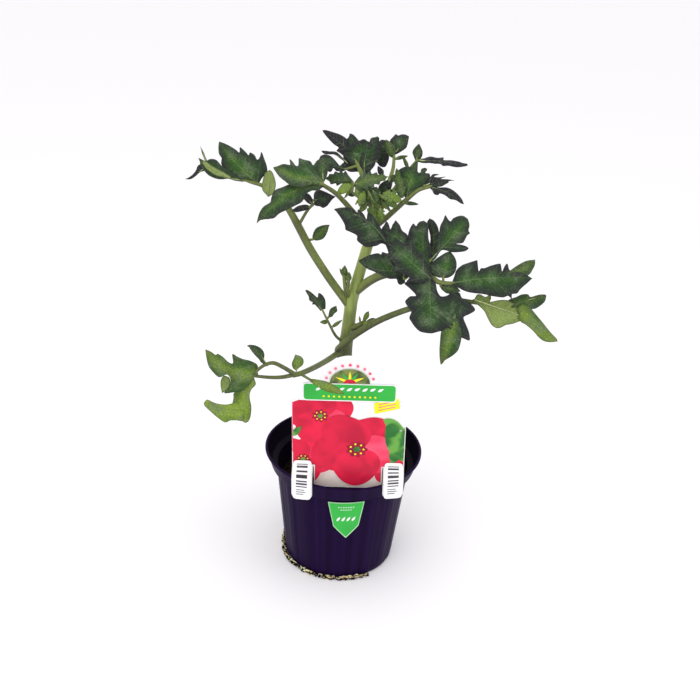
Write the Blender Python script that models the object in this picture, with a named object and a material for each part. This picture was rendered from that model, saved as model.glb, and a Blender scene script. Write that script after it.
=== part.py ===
"""A young tomato plant in a thin plastic nursery pot, with its label card hooked on the rim.

Metres, +Z up. The origin is at the middle of the pot's underside, on the surface it stands on,
and the label faces -Y. Leaves are tables of stalks and leaflets in millimetres, and one
function each makes a stalk, a leaflet and a whole leaf.
"""

import math
import random
from collections import namedtuple

import bmesh
import bpy
from mathutils import Matrix, Vector
from mathutils.geometry import delaunay_2d_cdt

MM = 0.001
GAP = 0.35  # mm, between pieces that touch on the real plant

# --- Driving dimensions, in millimetres ---------------------------------------------------
POT_HEIGHT = 78.4
RIM_RADIUS = 50.0
LIP_WIDTH = 1.5
LIP_HEIGHT = 1.8
COLLAR_TOP_RADIUS = 48.9
COLLAR_FOOT_RADIUS = 46.2
COLLAR_HEIGHT = 10.0
STEP_HEIGHT = 1.6
WALL_TOP_RADIUS = 42.8
BASE_RADIUS = 35.4
BASE_ROUND = 2.4
WALL = 0.9
BASE_WALL = 1.2
FLUTES = 24
FLUTE_DEPTH = 0.45
POT_SEGMENTS = 72
DRAIN_HOLES = 8
DRAIN_RADIUS = 3.2
DRAIN_RING = 26.0

SOIL_TOP = 54.0
SOIL_LUMP = 1.3
STEM_SINK = 30.0

CARD_THICK = 0.6
CARD_FRONT = -39.0  # where the card's flat part stands
CARD_CENTRE = 3.7
CARD_TURN = math.radians(-1.7)  # it leans to one side in its slots
CARD_HALF_WIDTH = 33.6
LEG_WIDTH = 12.4
LEG_FOOT = 68.3  # height of the legs' rounded ends
SLIT = 1.2
TONGUE_FOOT = 72.5
BEND_TOP = 88.0  # above this height the legs are flat with the card
LEG_LEVELS = (72.0, 75.0, 78.5, 81.5, 84.5, BEND_TOP)
SHOULDER = 132.5
BANNER_FOOT = 135.0
BANNER_TOP = 144.0
BANNER_HALF = 27.4
ARCH_RADIUS = 17.5

SHIELD_CENTRE = 3.6
SHIELD_TOP = 64.0
SHIELD_MIDDLE = 54.5
SHIELD_SIDE = 45.0
SHIELD_TIP = 35.6
SHIELD_HALF_TOP = 11.2
SHIELD_HALF_FOOT = 7.8
SHIELD_THICK = 0.6

ROOT_THICK = 0.55
ROOT_HEIGHT = 1.1
ROOT_SECTOR = (160, 312)  # degrees: from the left, round the front, to the right
CLIMB_END = 200  # up to here the strands climb the wall
ROOT_RING = 36.35
ROOT_STRANDS = 30

BLADE_THICK = 0.7
RIB_KEEL = 0.5
STALK_SIDES = 1  # bevel resolution of the leaf stalks

# The main stem's route, and its radius at each point.
STEM_ROUTE = (
    ((0, 0, STEM_SINK), 4.4), ((-1, 0, 94), 4.3), ((-2, 0, 144), 4.2), ((-1, 0, 161), 4.0),
    ((0, 0, 177), 3.7), ((2, 0, 188), 3.5), ((5, 0, 202), 3.3), ((7, 0, 211), 3.2),
    ((10, 1, 222), 2.8), ((12, 2, 231), 2.4), ((12, 3, 239), 1.9),
)

Stalk = namedtuple("Stalk", "route foot_radius tip_radius")
Leaflet = namedtuple("Leaflet", "foot tip right left face arch stalked")

FRONT = (0, -0.85, 0.5)
UPWARD = (0, -0.55, 0.83)
TURNED = (0, 0.75, -0.6)

# One side of a leaflet: points (along, out), both as shares of its length, from foot to tip.
SIDES = {
    "plain": ((0.1, 0.15), (0.4, 0.27), (0.75, 0.17)),
    "round": ((0.08, 0.3), (0.42, 0.5), (0.8, 0.34)),
    "slim": ((0.15, 0.08), (0.45, 0.13), (0.8, 0.08)),
    "toothed": ((0.1, 0.1), (0.34, 0.19), (0.4, 0.13), (0.62, 0.17), (0.68, 0.1), (0.86, 0.08)),
    "lobed": ((0.07, 0.12), (0.28, 0.34), (0.32, 0.2), (0.56, 0.36), (0.6, 0.2), (0.8, 0.2)),
}


def leaflet(foot, tip, right="plain", left=None, face=FRONT, arch=0.06, stalked=True):
    """A leaflet, both of whose sides are alike unless the left one is given too."""
    right = SIDES.get(right, right)
    left = right if left is None else SIDES.get(left, left)
    return Leaflet(foot, tip, right, left, face, arch, stalked)


# --- The leaves ---------------------------------------------------------------------------
LEAVES = {
    "leaf_low_left": (
        [
            Stalk(((-1, 0, 137), (-8, -11, 143), (-17, -32, 149), (-24, -47, 152), (-30, -54, 155)),
                  2.0, 1.5),
            Stalk(((-29, -53, 155), (-36, -58, 162), (-41, -60, 165), (-46, -62, 164), (-51, -64, 160)),
                  1.2, 0.9),
            Stalk(((-29, -53, 155), (-36, -57, 155), (-43, -60, 156), (-52, -63, 158)), 1.2, 0.9),
        ],
        [
            leaflet((-50, -63, 159), (-77, -68, 175),
                    ((0.08, 0.14), (0.25, 0.17), (0.52, 0.16), (0.5, 0.03), (0.78, 0.06)),
                    ((0.1, 0.25), (0.24, 0.45), (0.41, 0.54), (0.55, 0.36), (0.73, 0.3), (0.86, 0.2))),
            leaflet((-52, -63, 158), (-60, -70, 133),
                    ((0.1, 0.15), (0.4, 0.2), (0.66, 0.21), (0.81, 0.43), (0.86, 0.75), (0.98, 0.65),
                     (1.1, 0.43), (1.11, 0.22)),
                    ((0.18, 0.05), (0.4, 0.04), (0.51, 0.13), (0.69, 0.23), (0.92, 0.23), (0.98, 0.1)),
                    arch=0.05),
            leaflet((-29, -53, 155), (-28, -51, 166), ((0.1, 0.18), (0.4, 0.32), (0.75, 0.22)),
                    face=(0.2, -0.9, 0.3)),
            leaflet((-20, -55, 153), (-1, -54, 145), "slim", arch=0.08),
            leaflet((-44, -61, 164), (-55, -60, 174), ((0.1, 0.18), (0.4, 0.3), (0.75, 0.2))),
        ],
    ),
    "leaf_low_right": (
        [
            Stalk(((-2, 0, 146), (-3, -6, 150), (3, -9, 160), (11, -13, 169), (20, -18, 177),
                   (33, -24, 186), (47, -29, 193), (58, -31, 196), (70, -33, 196)), 2.4, 1.2),
        ],
        [
            leaflet((69, -33, 197), (118, -35, 176),
                    ((0.03, 0.08), (0.14, 0.15), (0.19, 0.06), (0.34, 0.17), (0.64, 0.2), (0.86, 0.12)),
                    ((0.04, 0.06), (0.14, 0.1), (0.32, 0.19), (0.42, 0.11), (0.6, 0.03), (0.88, 0.08)),
                    face=TURNED, arch=-0.05),
            leaflet((88, -33, 194), (110, -29, 201),
                    ((0.1, 0.14), (0.5, 0.28), (0.78, 0.2)),
                    ((0.1, 0.12), (0.42, 0.28), (0.46, 0.2), (0.8, 0.17)), stalked=False),
        ],
    ),
    "leaf_mid_right": (
        [
            Stalk(((1, 0, 184), (7, -3, 191), (12, -8, 197), (18, -13, 202), (27, -20, 207),
                   (40, -28, 210), (48, -33, 207), (58, -36, 208)), 2.7, 1.0),
            Stalk(((28, -21, 207), (24, -24, 214), (19, -24, 222)), 1.1, 0.8),
        ],
        [
            leaflet((20, -24, 221), (-12, -21, 242),
                    ((0.15, 0.1), (0.29, 0.2), (0.54, 0.26), (0.5, 0.15), (0.68, 0.23), (0.68, 0.15),
                     (0.8, 0.16)),
                    ((0.08, 0.1), (0.18, 0.18), (0.42, 0.2), (0.46, 0.15), (0.68, 0.15), (0.85, 0.08)),
                    stalked=False),
            leaflet((27, -27, 212), (3, -32, 217),
                    ((0.1, 0.15), (0.28, 0.26), (0.46, 0.28), (0.72, 0.16)),
                    ((0.02, 0.2), (0.02, 0.44), (0.14, 0.3), (0.36, 0.28), (0.58, 0.2), (0.8, 0.1))),
            leaflet((29, -31, 207), (24, -15, 236),
                    ((0.06, 0.2), (0.4, 0.32), (0.72, 0.25), (0.84, 0.11)),
                    ((0.06, 0.16), (0.45, 0.24), (0.75, 0.24), (0.97, 0.2), (0.88, 0.09)), face=UPWARD),
            leaflet((40, -34, 208), (36, -14, 236),
                    ((0.06, 0.14), (0.5, 0.13), (0.75, 0.16), (0.98, 0.17), (0.92, 0.08)),
                    ((0.06, 0.18), (0.4, 0.26), (0.7, 0.26), (0.94, 0.19), (0.89, 0.08)), face=UPWARD),
            leaflet((42, -29, 217), (62, -22, 239),
                    ((0.1, 0.1), (0.34, 0.15), (0.69, 0.39), (0.62, 0.18), (0.9, 0.23)),
                    ((0.1, 0.1), (0.3, 0.2), (0.55, 0.25), (0.8, 0.35), (0.82, 0.22), (0.97, 0.12))),
            leaflet((50, -34, 210), (53, -29, 224), "round"),
            leaflet((55, -36, 208), (98, -40, 216),
                    ((0.06, 0.05), (0.16, 0.1), (0.35, 0.17), (0.65, 0.23), (0.8, 0.18), (0.92, 0.08)),
                    ((0.06, 0.08), (0.17, 0.18), (0.33, 0.27), (0.37, 0.16), (0.6, 0.22), (0.62, 0.13),
                     (0.7, 0.19), (0.73, 0.12), (0.88, 0.12))),
            leaflet((82, -40, 214), (101, -31, 223), ((0.2, 0.16), (0.8, 0.2)),
                    ((0.2, 0.12), (0.7, 0.14)), stalked=False),
            leaflet((49, -34, 205), (60, -37, 204), "plain"),
            leaflet((46, -33, 206), (48, -46, 182),
                    ((0.05, 0.15), (0.02, 0.5), (0.3, 0.36), (0.42, 0.6), (0.56, 0.47), (0.7, 0.52),
                     (0.93, 0.3)),
                    ((0.05, 0.12), (0.26, 0.24), (0.22, 0.46), (0.4, 0.45), (0.54, 0.8), (0.66, 0.44),
                     (0.85, 0.3)), face=(0, -0.87, 0.5)),
            leaflet((58, -41, 192), (52, -47, 163),
                    ((0.05, 0.1), (0.3, 0.14), (0.57, 0.17), (0.8, 0.11)),
                    ((0.02, 0.14), (0.12, 0.25), (0.4, 0.36), (0.38, 0.2), (0.6, 0.2), (0.85, 0.1)),
                    face=(0.1, -0.95, 0.2), arch=0.08, stalked=False),
        ],
    ),
    "leaf_upper_left": (
        [
            Stalk(((0, 0, 174), (-5, 0, 181), (-14, 0, 193), (-25, -1, 210), (-33, -2, 225),
                   (-39, -2, 235), (-47, -2, 243), (-54, -2, 247), (-64, -2, 249)), 2.5, 1.2),
            Stalk(((-33, -2, 224), (-28, -3, 234), (-24, -4, 239), (-19, -6, 243)), 0.9, 0.7),
        ],
        [
            leaflet((-51, -2, 246), (-79, 8, 269),
                    ((0.05, 0.1), (0.15, 0.17), (0.37, 0.32), (0.37, 0.2), (0.52, 0.2), (0.53, 0.15),
                     (0.68, 0.16), (0.7, 0.1)),
                    ((0.1, 0.1), (0.37, 0.29), (0.57, 0.4), (0.68, 0.28), (0.82, 0.15))),
            leaflet((-64, -2, 250), (-89, -4, 262),
                    ((0.1, 0.1), (0.4, 0.12), (0.7, 0.07), (0.9, 0.1)),
                    ((0.1, 0.12), (0.36, 0.2), (0.7, 0.21), (0.9, 0.14))),
            leaflet((-84, -4, 259), (-98, -6, 250), "slim", arch=-0.05, stalked=False),
            leaflet((-85, -4, 259), (-90, -2, 268), "slim", stalked=False),
            leaflet((-51, -4, 245), (-49, -6, 258), ((0.1, 0.2), (0.45, 0.36), (0.8, 0.3)), face=TURNED,
                    arch=-0.1),
            leaflet((-24, -2, 217), (-15, -4, 227), "plain"),
            leaflet((-27, -3, 236), (-36, -5, 233), "plain", face=UPWARD),
            leaflet((-25, -4, 238), (-30, -6, 245), "plain"),
            leaflet((-22, -5, 241), (-12, -8, 246), "lobed"),
        ],
    ),
    "leaf_front_left": (
        [
            Stalk(((10, 1, 221), (4, -3, 229), (-2, -5, 236), (-7, -7, 242), (-13, -12, 249),
                   (-21, -20, 256)), 1.7, 1.1),
        ],
        [
            leaflet((-19, -19, 255), (-53, -38, 237),
                    ((0.08, 0.16), (0.3, 0.28), (0.5, 0.28), (0.68, 0.18), (0.8, 0.15)),
                    ((0.08, 0.1), (0.3, 0.14), (0.5, 0.13), (0.8, 0.08)), face=UPWARD, arch=0.08),
            leaflet((-19, -19, 256), (-46, -20, 263),
                    ((0.02, 0.3), (0.13, 0.47), (0.28, 0.34), (0.5, 0.43), (0.56, 0.29), (0.74, 0.31),
                     (0.77, 0.2)),
                    ((0.05, 0.1), (0.4, 0.25), (0.84, 0.22)), face=UPWARD),
            leaflet((-19, -18, 256), (-20, -11, 268), ((0.1, 0.3), (0.5, 0.5), (0.8, 0.3)),
                    ((0.1, 0.2), (0.5, 0.3), (0.8, 0.2)), face=UPWARD),
        ],
    ),
    "leaf_right_upper": (
        [
            Stalk(((11, 1, 225), (17, -2, 232), (22, -4, 238), (28, -6, 245), (34, -7, 251),
                   (41, -8, 254)), 1.6, 0.9),
        ],
        [
            leaflet((28, -7, 246), (33, 0, 266),
                    ((0.1, 0.2), (0.26, 0.5), (0.5, 0.72), (0.56, 0.46), (0.82, 0.34), (0.84, 0.2)),
                    ((0.08, 0.16), (0.4, 0.28), (0.84, 0.2)), face=UPWARD),
            leaflet((37, -8, 254), (54, -7, 259), "toothed"),
            leaflet((40, -8, 254), (60, -12, 246),
                    ((0.15, 0.1), (0.4, 0.16), (0.8, 0.1)),
                    ((0.1, 0.18), (0.3, 0.28), (0.44, 0.14), (0.8, 0.15))),
            leaflet((26, -6, 243), (35, -7, 243), "slim"),
        ],
    ),
    "leaf_top_left": (
        [
            Stalk(((12, 3, 231), (8, 5, 241), (4, 9, 249), (1, 14, 255), (-3, 19, 260), (-7, 23, 264)),
                  1.6, 0.9),
        ],
        [
            leaflet((-6, 22, 264), (-22, 27, 275), "toothed"),
            leaflet((1, 15, 255), (-6, 30, 271),
                    ((0.05, 0.15), (0.15, 0.42), (0.42, 0.5), (0.78, 0.5), (0.7, 0.3), (0.86, 0.28),
                     (0.84, 0.14)),
                    ((0.05, 0.2), (0.36, 0.27), (0.74, 0.26), (0.9, 0.1)), face=UPWARD),
            leaflet((4, 12, 252), (10, 28, 268),
                    ((0.1, 0.15), (0.44, 0.34), (0.48, 0.24), (0.72, 0.28), (0.76, 0.16)),
                    ((0.1, 0.15), (0.5, 0.28), (0.86, 0.26), (0.82, 0.12)), face=UPWARD),
            leaflet((0, 13, 254), (-21, 13, 261), "toothed", face=UPWARD),
        ],
    ),
    "leaf_top": (
        [
            Stalk(((13, 3, 237), (16, 7, 244), (18, 11, 250), (20, 16, 257), (20, 21, 265)), 1.4, 0.8),
        ],
        [
            leaflet((20, 20, 264), (28, 26, 274), ((0.08, 0.2), (0.42, 0.38), (0.8, 0.28))),
            leaflet((20, 19, 261), (28, 17, 264), "slim"),
            leaflet((20, 19, 262), (15, 20, 272), "plain"),
            leaflet((18, 11, 250), (23, 9, 255), "plain"),
        ],
    ),
    "leaf_top_right": (
        [
            Stalk(((12, 3, 231), (17, 7, 240), (23, 11, 248), (29, 15, 256), (34, 18, 262)), 1.4, 0.8),
        ],
        [
            leaflet((33, 18, 261), (35, 21, 271), "plain"),
            leaflet((34, 18, 262), (64, 20, 261), "toothed", face=UPWARD, arch=0.03),
            leaflet((29, 15, 256), (25, 16, 264), "slim"),
        ],
    ),
    "shoot_tip": (
        [
            Stalk(((12, 2, 230), (9, -4, 238), (3, -8, 244), (-3, -9, 248)), 1.2, 0.8),
            Stalk(((9, -4, 237), (13, -7, 244), (15, -9, 249)), 1.0, 0.8),
        ],
        [
            leaflet((-3, -6, 248), (-19, -3, 254), "lobed", face=(0, -1, 0.15)),
            leaflet((0, -9, 247), (17, -10, 260), ((0.1, 0.12), (0.45, 0.2), (0.8, 0.12)),
                    ((0.1, 0.15), (0.4, 0.24), (0.8, 0.14)), arch=0.12),
            leaflet((3, -3, 242), (-13, 3, 247), ((0.1, 0.2), (0.45, 0.3), (0.8, 0.2))),
            leaflet((6, -7, 241), (1, -12, 241), "plain"),
            leaflet((7, -6, 240), (8, -13, 237), "plain"),
            leaflet((11, -6, 241), (13, -13, 238), "plain"),
            leaflet((12, -7, 243), (19, -10, 242), "plain"),
            leaflet((13, -8, 246), (21, -10, 247), "plain"),
            leaflet((15, -9, 248), (22, -11, 252), "plain"),
            leaflet((15, -9, 248), (14, -13, 253), "plain"),
            leaflet((12, -8, 245), (7, -13, 247), "round"),
            leaflet((9, -6, 240), (3, -12, 237), "plain"),
        ],
    ),
    "axil_shoot_left": (
        [
            Stalk(((-2, 0, 151), (-8, -4, 157), (-13, -8, 168), (-17, -10, 177)), 0.9, 0.6),
        ],
        [
            leaflet((-17, -10, 176), (-28, -12, 189),
                    ((0.08, 0.1), (0.3, 0.2), (0.66, 0.28), (0.66, 0.14), (0.84, 0.12)),
                    ((0.08, 0.1), (0.3, 0.15), (0.36, 0.11), (0.6, 0.14), (0.84, 0.1))),
            leaflet((-13, -8, 171), (-8, -9, 179), "plain"),
            leaflet((-11, -7, 164), (-5, -9, 170), "slim"),
            leaflet((-13, -8, 168), (-18, -9, 168), "plain"),
        ],
    ),
    "axil_shoots_mid": (
        [
            Stalk(((-1, 0, 181), (-4, -5, 188), (-5, -6, 199)), 0.9, 0.7),
            Stalk(((-4, -5, 187), (-2, -6, 192), (-2, -7, 196)), 0.8, 0.6),
        ],
        [
            leaflet((-5, -6, 198), (-4, -7, 203), "plain", stalked=False),
            leaflet((-5, -6, 197), (-8, -7, 200), "plain", stalked=False),
            leaflet((-2, -7, 195), (-1, -8, 199), "plain", stalked=False),
        ],
    ),
    "axil_bud_right": (
        [
            Stalk(((-1, 0, 163), (4, -3, 170), (8, -6, 176)), 1.1, 0.7),
        ],
        [
            leaflet((8, -6, 175), (13, -8, 179), "plain"),
            leaflet((6, -5, 173), (5, -8, 180), "plain"),
            leaflet((7, -5, 174), (14, -8, 173), "plain"),
        ],
    ),
}

# --- Materials ----------------------------------------------------------------------------
COLOURS = {
    "pot_plastic": ((0.017, 0.006, 0.033), 0.38),
    "soil": ((0.03, 0.02, 0.012), 0.95),
    "card": ((0.85, 0.85, 0.85), 0.35),
    "shield": ((0.05, 0.5, 0.09), 0.35),
    "root": ((0.78, 0.68, 0.42), 0.8),
    "stem": ((0.3, 0.38, 0.11), 0.55),
    "leaf": ((0.06, 0.13, 0.045), 0.55),
}


def material(name):
    """A Principled material in one of the plant's own colours."""
    colour, roughness = COLOURS[name]
    found = bpy.data.materials.new(name)
    found.use_nodes = True
    shader = found.node_tree.nodes["Principled BSDF"]
    shader.inputs["Base Color"].default_value = (*colour, 1)
    shader.inputs["Roughness"].default_value = roughness
    shader.inputs["Metallic"].default_value = 0
    return found


# --- Small modelling helpers --------------------------------------------------------------
def add_object(name, bm, smooth=True):
    """An object made of a bmesh whose points are in millimetres."""
    bmesh.ops.transform(bm, matrix=Matrix.Scale(MM, 4), verts=bm.verts)
    mesh = bpy.data.meshes.new(name)
    bm.to_mesh(mesh)
    bm.free()
    if smooth:
        mesh.shade_smooth()
    piece = bpy.data.objects.new(name, mesh)
    bpy.context.scene.collection.objects.link(piece)
    return piece


def drop(piece):
    """Remove an object and its data."""
    bpy.data.objects.remove(piece, do_unlink=True)


def settle(piece):
    """Apply an object's modifiers."""
    bpy.context.view_layer.update()
    graph = bpy.context.evaluated_depsgraph_get()
    mesh = bpy.data.meshes.new_from_object(piece.evaluated_get(graph))
    piece.modifiers.clear()
    piece.data = mesh


def smooth_route(points, per_span=4):
    """Points along a smooth curve through the given ones."""
    ways = [Vector(p) for p in points]
    ways = [ways[0] * 2 - ways[1], *ways, ways[-1] * 2 - ways[-2]]
    found = []
    for i in range(1, len(ways) - 2):
        a, b, c, d = ways[i - 1:i + 3]
        for k in range(per_span):
            t = k / per_span
            found.append(0.5 * (2 * b + (c - a) * t + (2 * a - 5 * b + 4 * c - d) * t**2
                                + (3 * b - a - 3 * c + d) * t**3))
    found.append(ways[-2])
    return found


def spread(values, count):
    """A list stretched to count entries, evenly in between."""
    found = []
    for k in range(count):
        place = k / (count - 1) * (len(values) - 1)
        low = min(int(place), len(values) - 2)
        found.append(values[low] + (values[low + 1] - values[low]) * (place - low))
    return found


def tube(name, points, radii, sides=STALK_SIDES):
    """A closed round stalk through the points, as a mesh object."""
    curve = bpy.data.curves.new(name, "CURVE")
    curve.dimensions = "3D"
    curve.bevel_depth = MM
    curve.bevel_resolution = sides
    curve.use_fill_caps = True
    spline = curve.splines.new("POLY")
    spline.points.add(len(points) - 1)
    for point, place, radius in zip(spline.points, points, radii):
        point.co = (*(Vector(place) * MM), 1)
        point.radius = radius
    guide = bpy.data.objects.new(name, curve)
    bpy.context.scene.collection.objects.link(guide)
    bpy.context.view_layer.update()
    graph = bpy.context.evaluated_depsgraph_get()
    mesh = bpy.data.meshes.new_from_object(guide.evaluated_get(graph))
    drop(guide)
    bm = bmesh.new()
    bm.from_mesh(mesh)
    bmesh.ops.remove_doubles(bm, verts=bm.verts, dist=1e-7)
    bmesh.ops.recalc_face_normals(bm, faces=bm.faces)
    bmesh.ops.triangulate(bm, faces=bm.faces)
    bm.to_mesh(mesh)
    bm.free()
    mesh.shade_smooth()
    piece = bpy.data.objects.new(name, mesh)
    bpy.context.scene.collection.objects.link(piece)
    return piece


def fuse(name, pieces, solver="EXACT"):
    """One closed body from overlapping pieces, by a Boolean union on their collection."""
    first = pieces[0]
    first.name = name
    others = bpy.data.collections.new(name + "_pieces")
    bpy.context.scene.collection.children.link(others)
    for piece in pieces[1:]:
        others.objects.link(piece)
    union = first.modifiers.new("union", "BOOLEAN")
    union.operation = "UNION"
    union.operand_type = "COLLECTION"
    union.collection = others
    union.solver = solver
    settle(first)
    for piece in pieces[1:]:
        drop(piece)
    bpy.data.collections.remove(others)
    return first


def cut(piece, cutter, solver="EXACT"):
    """The piece with the cutter's space taken away."""
    away = piece.modifiers.new("cut", "BOOLEAN")
    away.operation = "DIFFERENCE"
    away.object = cutter
    away.solver = solver
    settle(piece)


def keep_largest(piece):
    """Drop the loose scraps that a cut leaves."""
    bm = bmesh.new()
    bm.from_mesh(piece.data)
    left = set(bm.verts)
    shells = []
    while left:
        shell = set()
        reached = [left.pop()]
        while reached:
            vert = reached.pop()
            shell.add(vert)
            for edge in vert.link_edges:
                other = edge.other_vert(vert)
                if other in left:
                    left.discard(other)
                    reached.append(other)
        shells.append(shell)
    shells.sort(key=len)
    for shell in shells[:-1]:
        bmesh.ops.delete(bm, geom=list(shell), context="VERTS")
    bm.to_mesh(piece.data)
    bm.free()


# --- Leaves -------------------------------------------------------------------------------
def leaflet_body(name, spec):
    """A thin closed blade with cut edges, its rib arched between foot and tip."""
    foot = Vector(spec.foot)
    along = Vector(spec.tip) - foot
    length = along.length
    along.normalize()
    face = Vector(spec.face)
    face = (face - along * face.dot(along)).normalized()
    right = along.cross(face)

    neck = min(0.05, 0.9 / length)
    outline = [(0, neck), *spec.right, (1, 0), *((a, -r) for a, r in reversed(spec.left)), (0, -neck)]
    ribs = 4 if length > 14 else 2
    rib = [(k / (ribs + 1), 0) for k in range(ribs + 1)]
    flat = [Vector(p) for p in outline + rib]
    rim = [(k, (k + 1) % len(outline)) for k in range(len(outline))]
    tip = outline.index((1, 0))
    spine = [*range(len(outline), len(flat)), tip]
    places, _, faces, *_ = delaunay_2d_cdt(flat, rim + list(zip(spine, spine[1:])), [], 1, 1e-6)

    bm = bmesh.new()
    verts = []
    for place in places:
        a, r = place
        lift = spec.arch * 4 * a * (1 - a) - 0.22 * r * r
        verts.append(bm.verts.new(foot + (along * a + right * r + face * lift) * length))
    for corners in faces:
        bm.faces.new([verts[k] for k in corners])
    bmesh.ops.recalc_face_normals(bm, faces=bm.faces)
    if sum((f.normal.dot(face) for f in bm.faces)) < 0:
        bmesh.ops.reverse_faces(bm, faces=bm.faces)
    bm.normal_update()
    keel = {}
    for vert, place in zip(verts, places):
        on_rib = abs(place.y) < 1e-6 and 0 < place.x < 1
        keel[tuple(vert.co)] = vert.normal * (BLADE_THICK + (RIB_KEEL if on_rib else 0))
    made = bmesh.ops.extrude_face_region(bm, geom=bm.faces[:])
    upper = {g for g in made["geom"] if isinstance(g, bmesh.types.BMVert)}
    for vert in bm.verts:
        if vert not in upper:
            vert.co -= keel[tuple(vert.co)]
    bmesh.ops.recalc_face_normals(bm, faces=bm.faces)
    bmesh.ops.triangulate(bm, faces=bm.faces)
    return add_object(name, bm)


def nearest_on(stalks, place):
    """The point nearest to a place on the centre lines of a leaf's stalks."""
    points = [p for stalk in stalks for p in smooth_route(stalk.route, 8)]
    return min(points, key=lambda p: (p - place).length)


def leaf(name, stalks, leaflets, stem_cutter):
    """A whole leaf: stalks and leaflets fused, cut clear of the main stem."""
    pieces = []
    for k, stalk in enumerate(stalks):
        points = smooth_route(stalk.route, 3)
        radii = spread((stalk.foot_radius, stalk.tip_radius), len(points))
        pieces.append(tube(f"{name}_stalk_{k}", points, radii))
    for k, spec in enumerate(leaflets):
        pieces.append(leaflet_body(f"{name}_blade_{k}", spec))
        foot = Vector(spec.foot)
        start = nearest_on(stalks, foot)
        if spec.stalked and (start - foot).length > 0.8:
            reach = foot + (Vector(spec.tip) - foot) * 0.12
            pieces.append(tube(f"{name}_stalklet_{k}", (start, foot, reach), (0.8, 0.7, 0.6), 0))
    whole = fuse(name, pieces, "MANIFOLD")
    cut(whole, stem_cutter, "MANIFOLD")
    keep_largest(whole)
    whole.data.materials.clear()
    whole.data.materials.append(bpy.data.materials["leaf"])
    return whole


# --- Pot, soil, roots ---------------------------------------------------------------------
def wall_radius(height):
    """The outer radius of the pot's wall below the collar."""
    top = POT_HEIGHT - COLLAR_HEIGHT - STEP_HEIGHT
    return BASE_RADIUS + (WALL_TOP_RADIUS - BASE_RADIUS) * height / top


def flute(angle):
    """How far the wall is pressed in at an angle: narrow grooves between wide flats."""
    phase = (angle * FLUTES / math.tau) % 1
    return FLUTE_DEPTH if phase < 0.01 or phase > 0.99 else 0.0


def spun(profile, segments):
    """A closed body turned round Z from a profile whose first and last points lie on the axis."""
    bm = bmesh.new()
    verts = [bm.verts.new((r, 0, z)) for r, z in profile]
    for a, b in zip(verts, verts[1:]):
        bm.edges.new((a, b))
    bmesh.ops.spin(bm, geom=bm.verts[:] + bm.edges[:], cent=(0, 0, 0), axis=(0, 0, 1),
                   angle=math.tau, steps=segments, use_merge=True)
    bmesh.ops.remove_doubles(bm, verts=bm.verts, dist=1e-4)
    bmesh.ops.recalc_face_normals(bm, faces=bm.faces)
    return bm


def make_pot():
    """The fluted pot with its collar, lip and drain holes."""
    step_top = POT_HEIGHT - COLLAR_HEIGHT
    step_foot = step_top - STEP_HEIGHT
    lip_foot = POT_HEIGHT - LIP_HEIGHT
    round_radius = wall_radius(BASE_ROUND)
    profile = [
        (0, 0), (BASE_RADIUS - BASE_ROUND, 0), (BASE_RADIUS - BASE_ROUND * 0.3, BASE_ROUND * 0.3),
        (round_radius, BASE_ROUND),
        (wall_radius(step_foot - 2), step_foot - 2), (wall_radius(step_foot), step_foot),
        (COLLAR_FOOT_RADIUS, step_top), (COLLAR_TOP_RADIUS, lip_foot),
        (RIM_RADIUS, lip_foot + 0.3), (RIM_RADIUS, POT_HEIGHT - 0.3),
        (RIM_RADIUS - 0.4, POT_HEIGHT), (RIM_RADIUS - LIP_WIDTH, POT_HEIGHT),
        (COLLAR_FOOT_RADIUS - WALL, step_top), (wall_radius(step_foot) - WALL, step_foot),
        (wall_radius(step_foot - 2) - WALL, step_foot - 2),
        (round_radius - WALL, BASE_ROUND + 0.4), (BASE_RADIUS - BASE_ROUND, BASE_WALL), (0, BASE_WALL),
    ]
    bm = spun(profile, POT_SEGMENTS)
    for vert in bm.verts:
        radius = math.hypot(vert.co.x, vert.co.y)
        if BASE_ROUND - 0.1 < vert.co.z < step_foot - 1 and radius > BASE_RADIUS - BASE_ROUND:
            share = (radius - flute(math.atan2(vert.co.y, vert.co.x))) / radius
            vert.co.x *= share
            vert.co.y *= share
    pot = add_object("pot", bm)
    pot.data.set_sharp_from_angle(angle=math.radians(28))
    bm = bmesh.new()
    for k in range(DRAIN_HOLES):
        angle = math.tau * (k + 0.5) / DRAIN_HOLES
        place = Matrix.Translation((DRAIN_RING * math.cos(angle), DRAIN_RING * math.sin(angle), 0))
        bmesh.ops.create_cone(bm, cap_ends=True, segments=12, radius1=DRAIN_RADIUS,
                              radius2=DRAIN_RADIUS, depth=BASE_WALL * 4, matrix=place)
    drills = add_object("drills", bm)
    cut(pot, drills)
    drop(drills)
    pot.data.materials.clear()
    pot.data.materials.append(bpy.data.materials["pot_plastic"])
    return pot


def make_soil(stem_hole):
    """The peat that fills the pot, with a lumpy top and a hole for the stem."""
    step_foot = POT_HEIGHT - COLLAR_HEIGHT - STEP_HEIGHT
    clear = WALL + FLUTE_DEPTH + GAP
    profile = [(0, BASE_WALL + GAP), (BASE_RADIUS - BASE_ROUND - 1, BASE_WALL + GAP),
               (wall_radius(BASE_ROUND + 1) - clear, BASE_ROUND + 1),
               (wall_radius(min(SOIL_TOP, step_foot)) - clear, SOIL_TOP),
               (34, SOIL_TOP), (26, SOIL_TOP), (17, SOIL_TOP), (9, SOIL_TOP), (0, SOIL_TOP)]
    bm = spun(profile, 36)
    rng = random.Random(4)
    for vert in sorted(bm.verts, key=lambda v: (round(v.co.z, 3), round(v.co.x, 3), round(v.co.y, 3))):
        if vert.co.z > SOIL_TOP - 0.1:
            vert.co.z += rng.uniform(-SOIL_LUMP, SOIL_LUMP)
    bmesh.ops.triangulate(bm, faces=bm.faces)
    soil = add_object("soil", bm, smooth=False)
    cut(soil, stem_hole)
    soil.data.materials.clear()
    soil.data.materials.append(bpy.data.materials["soil"])
    return soil


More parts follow.
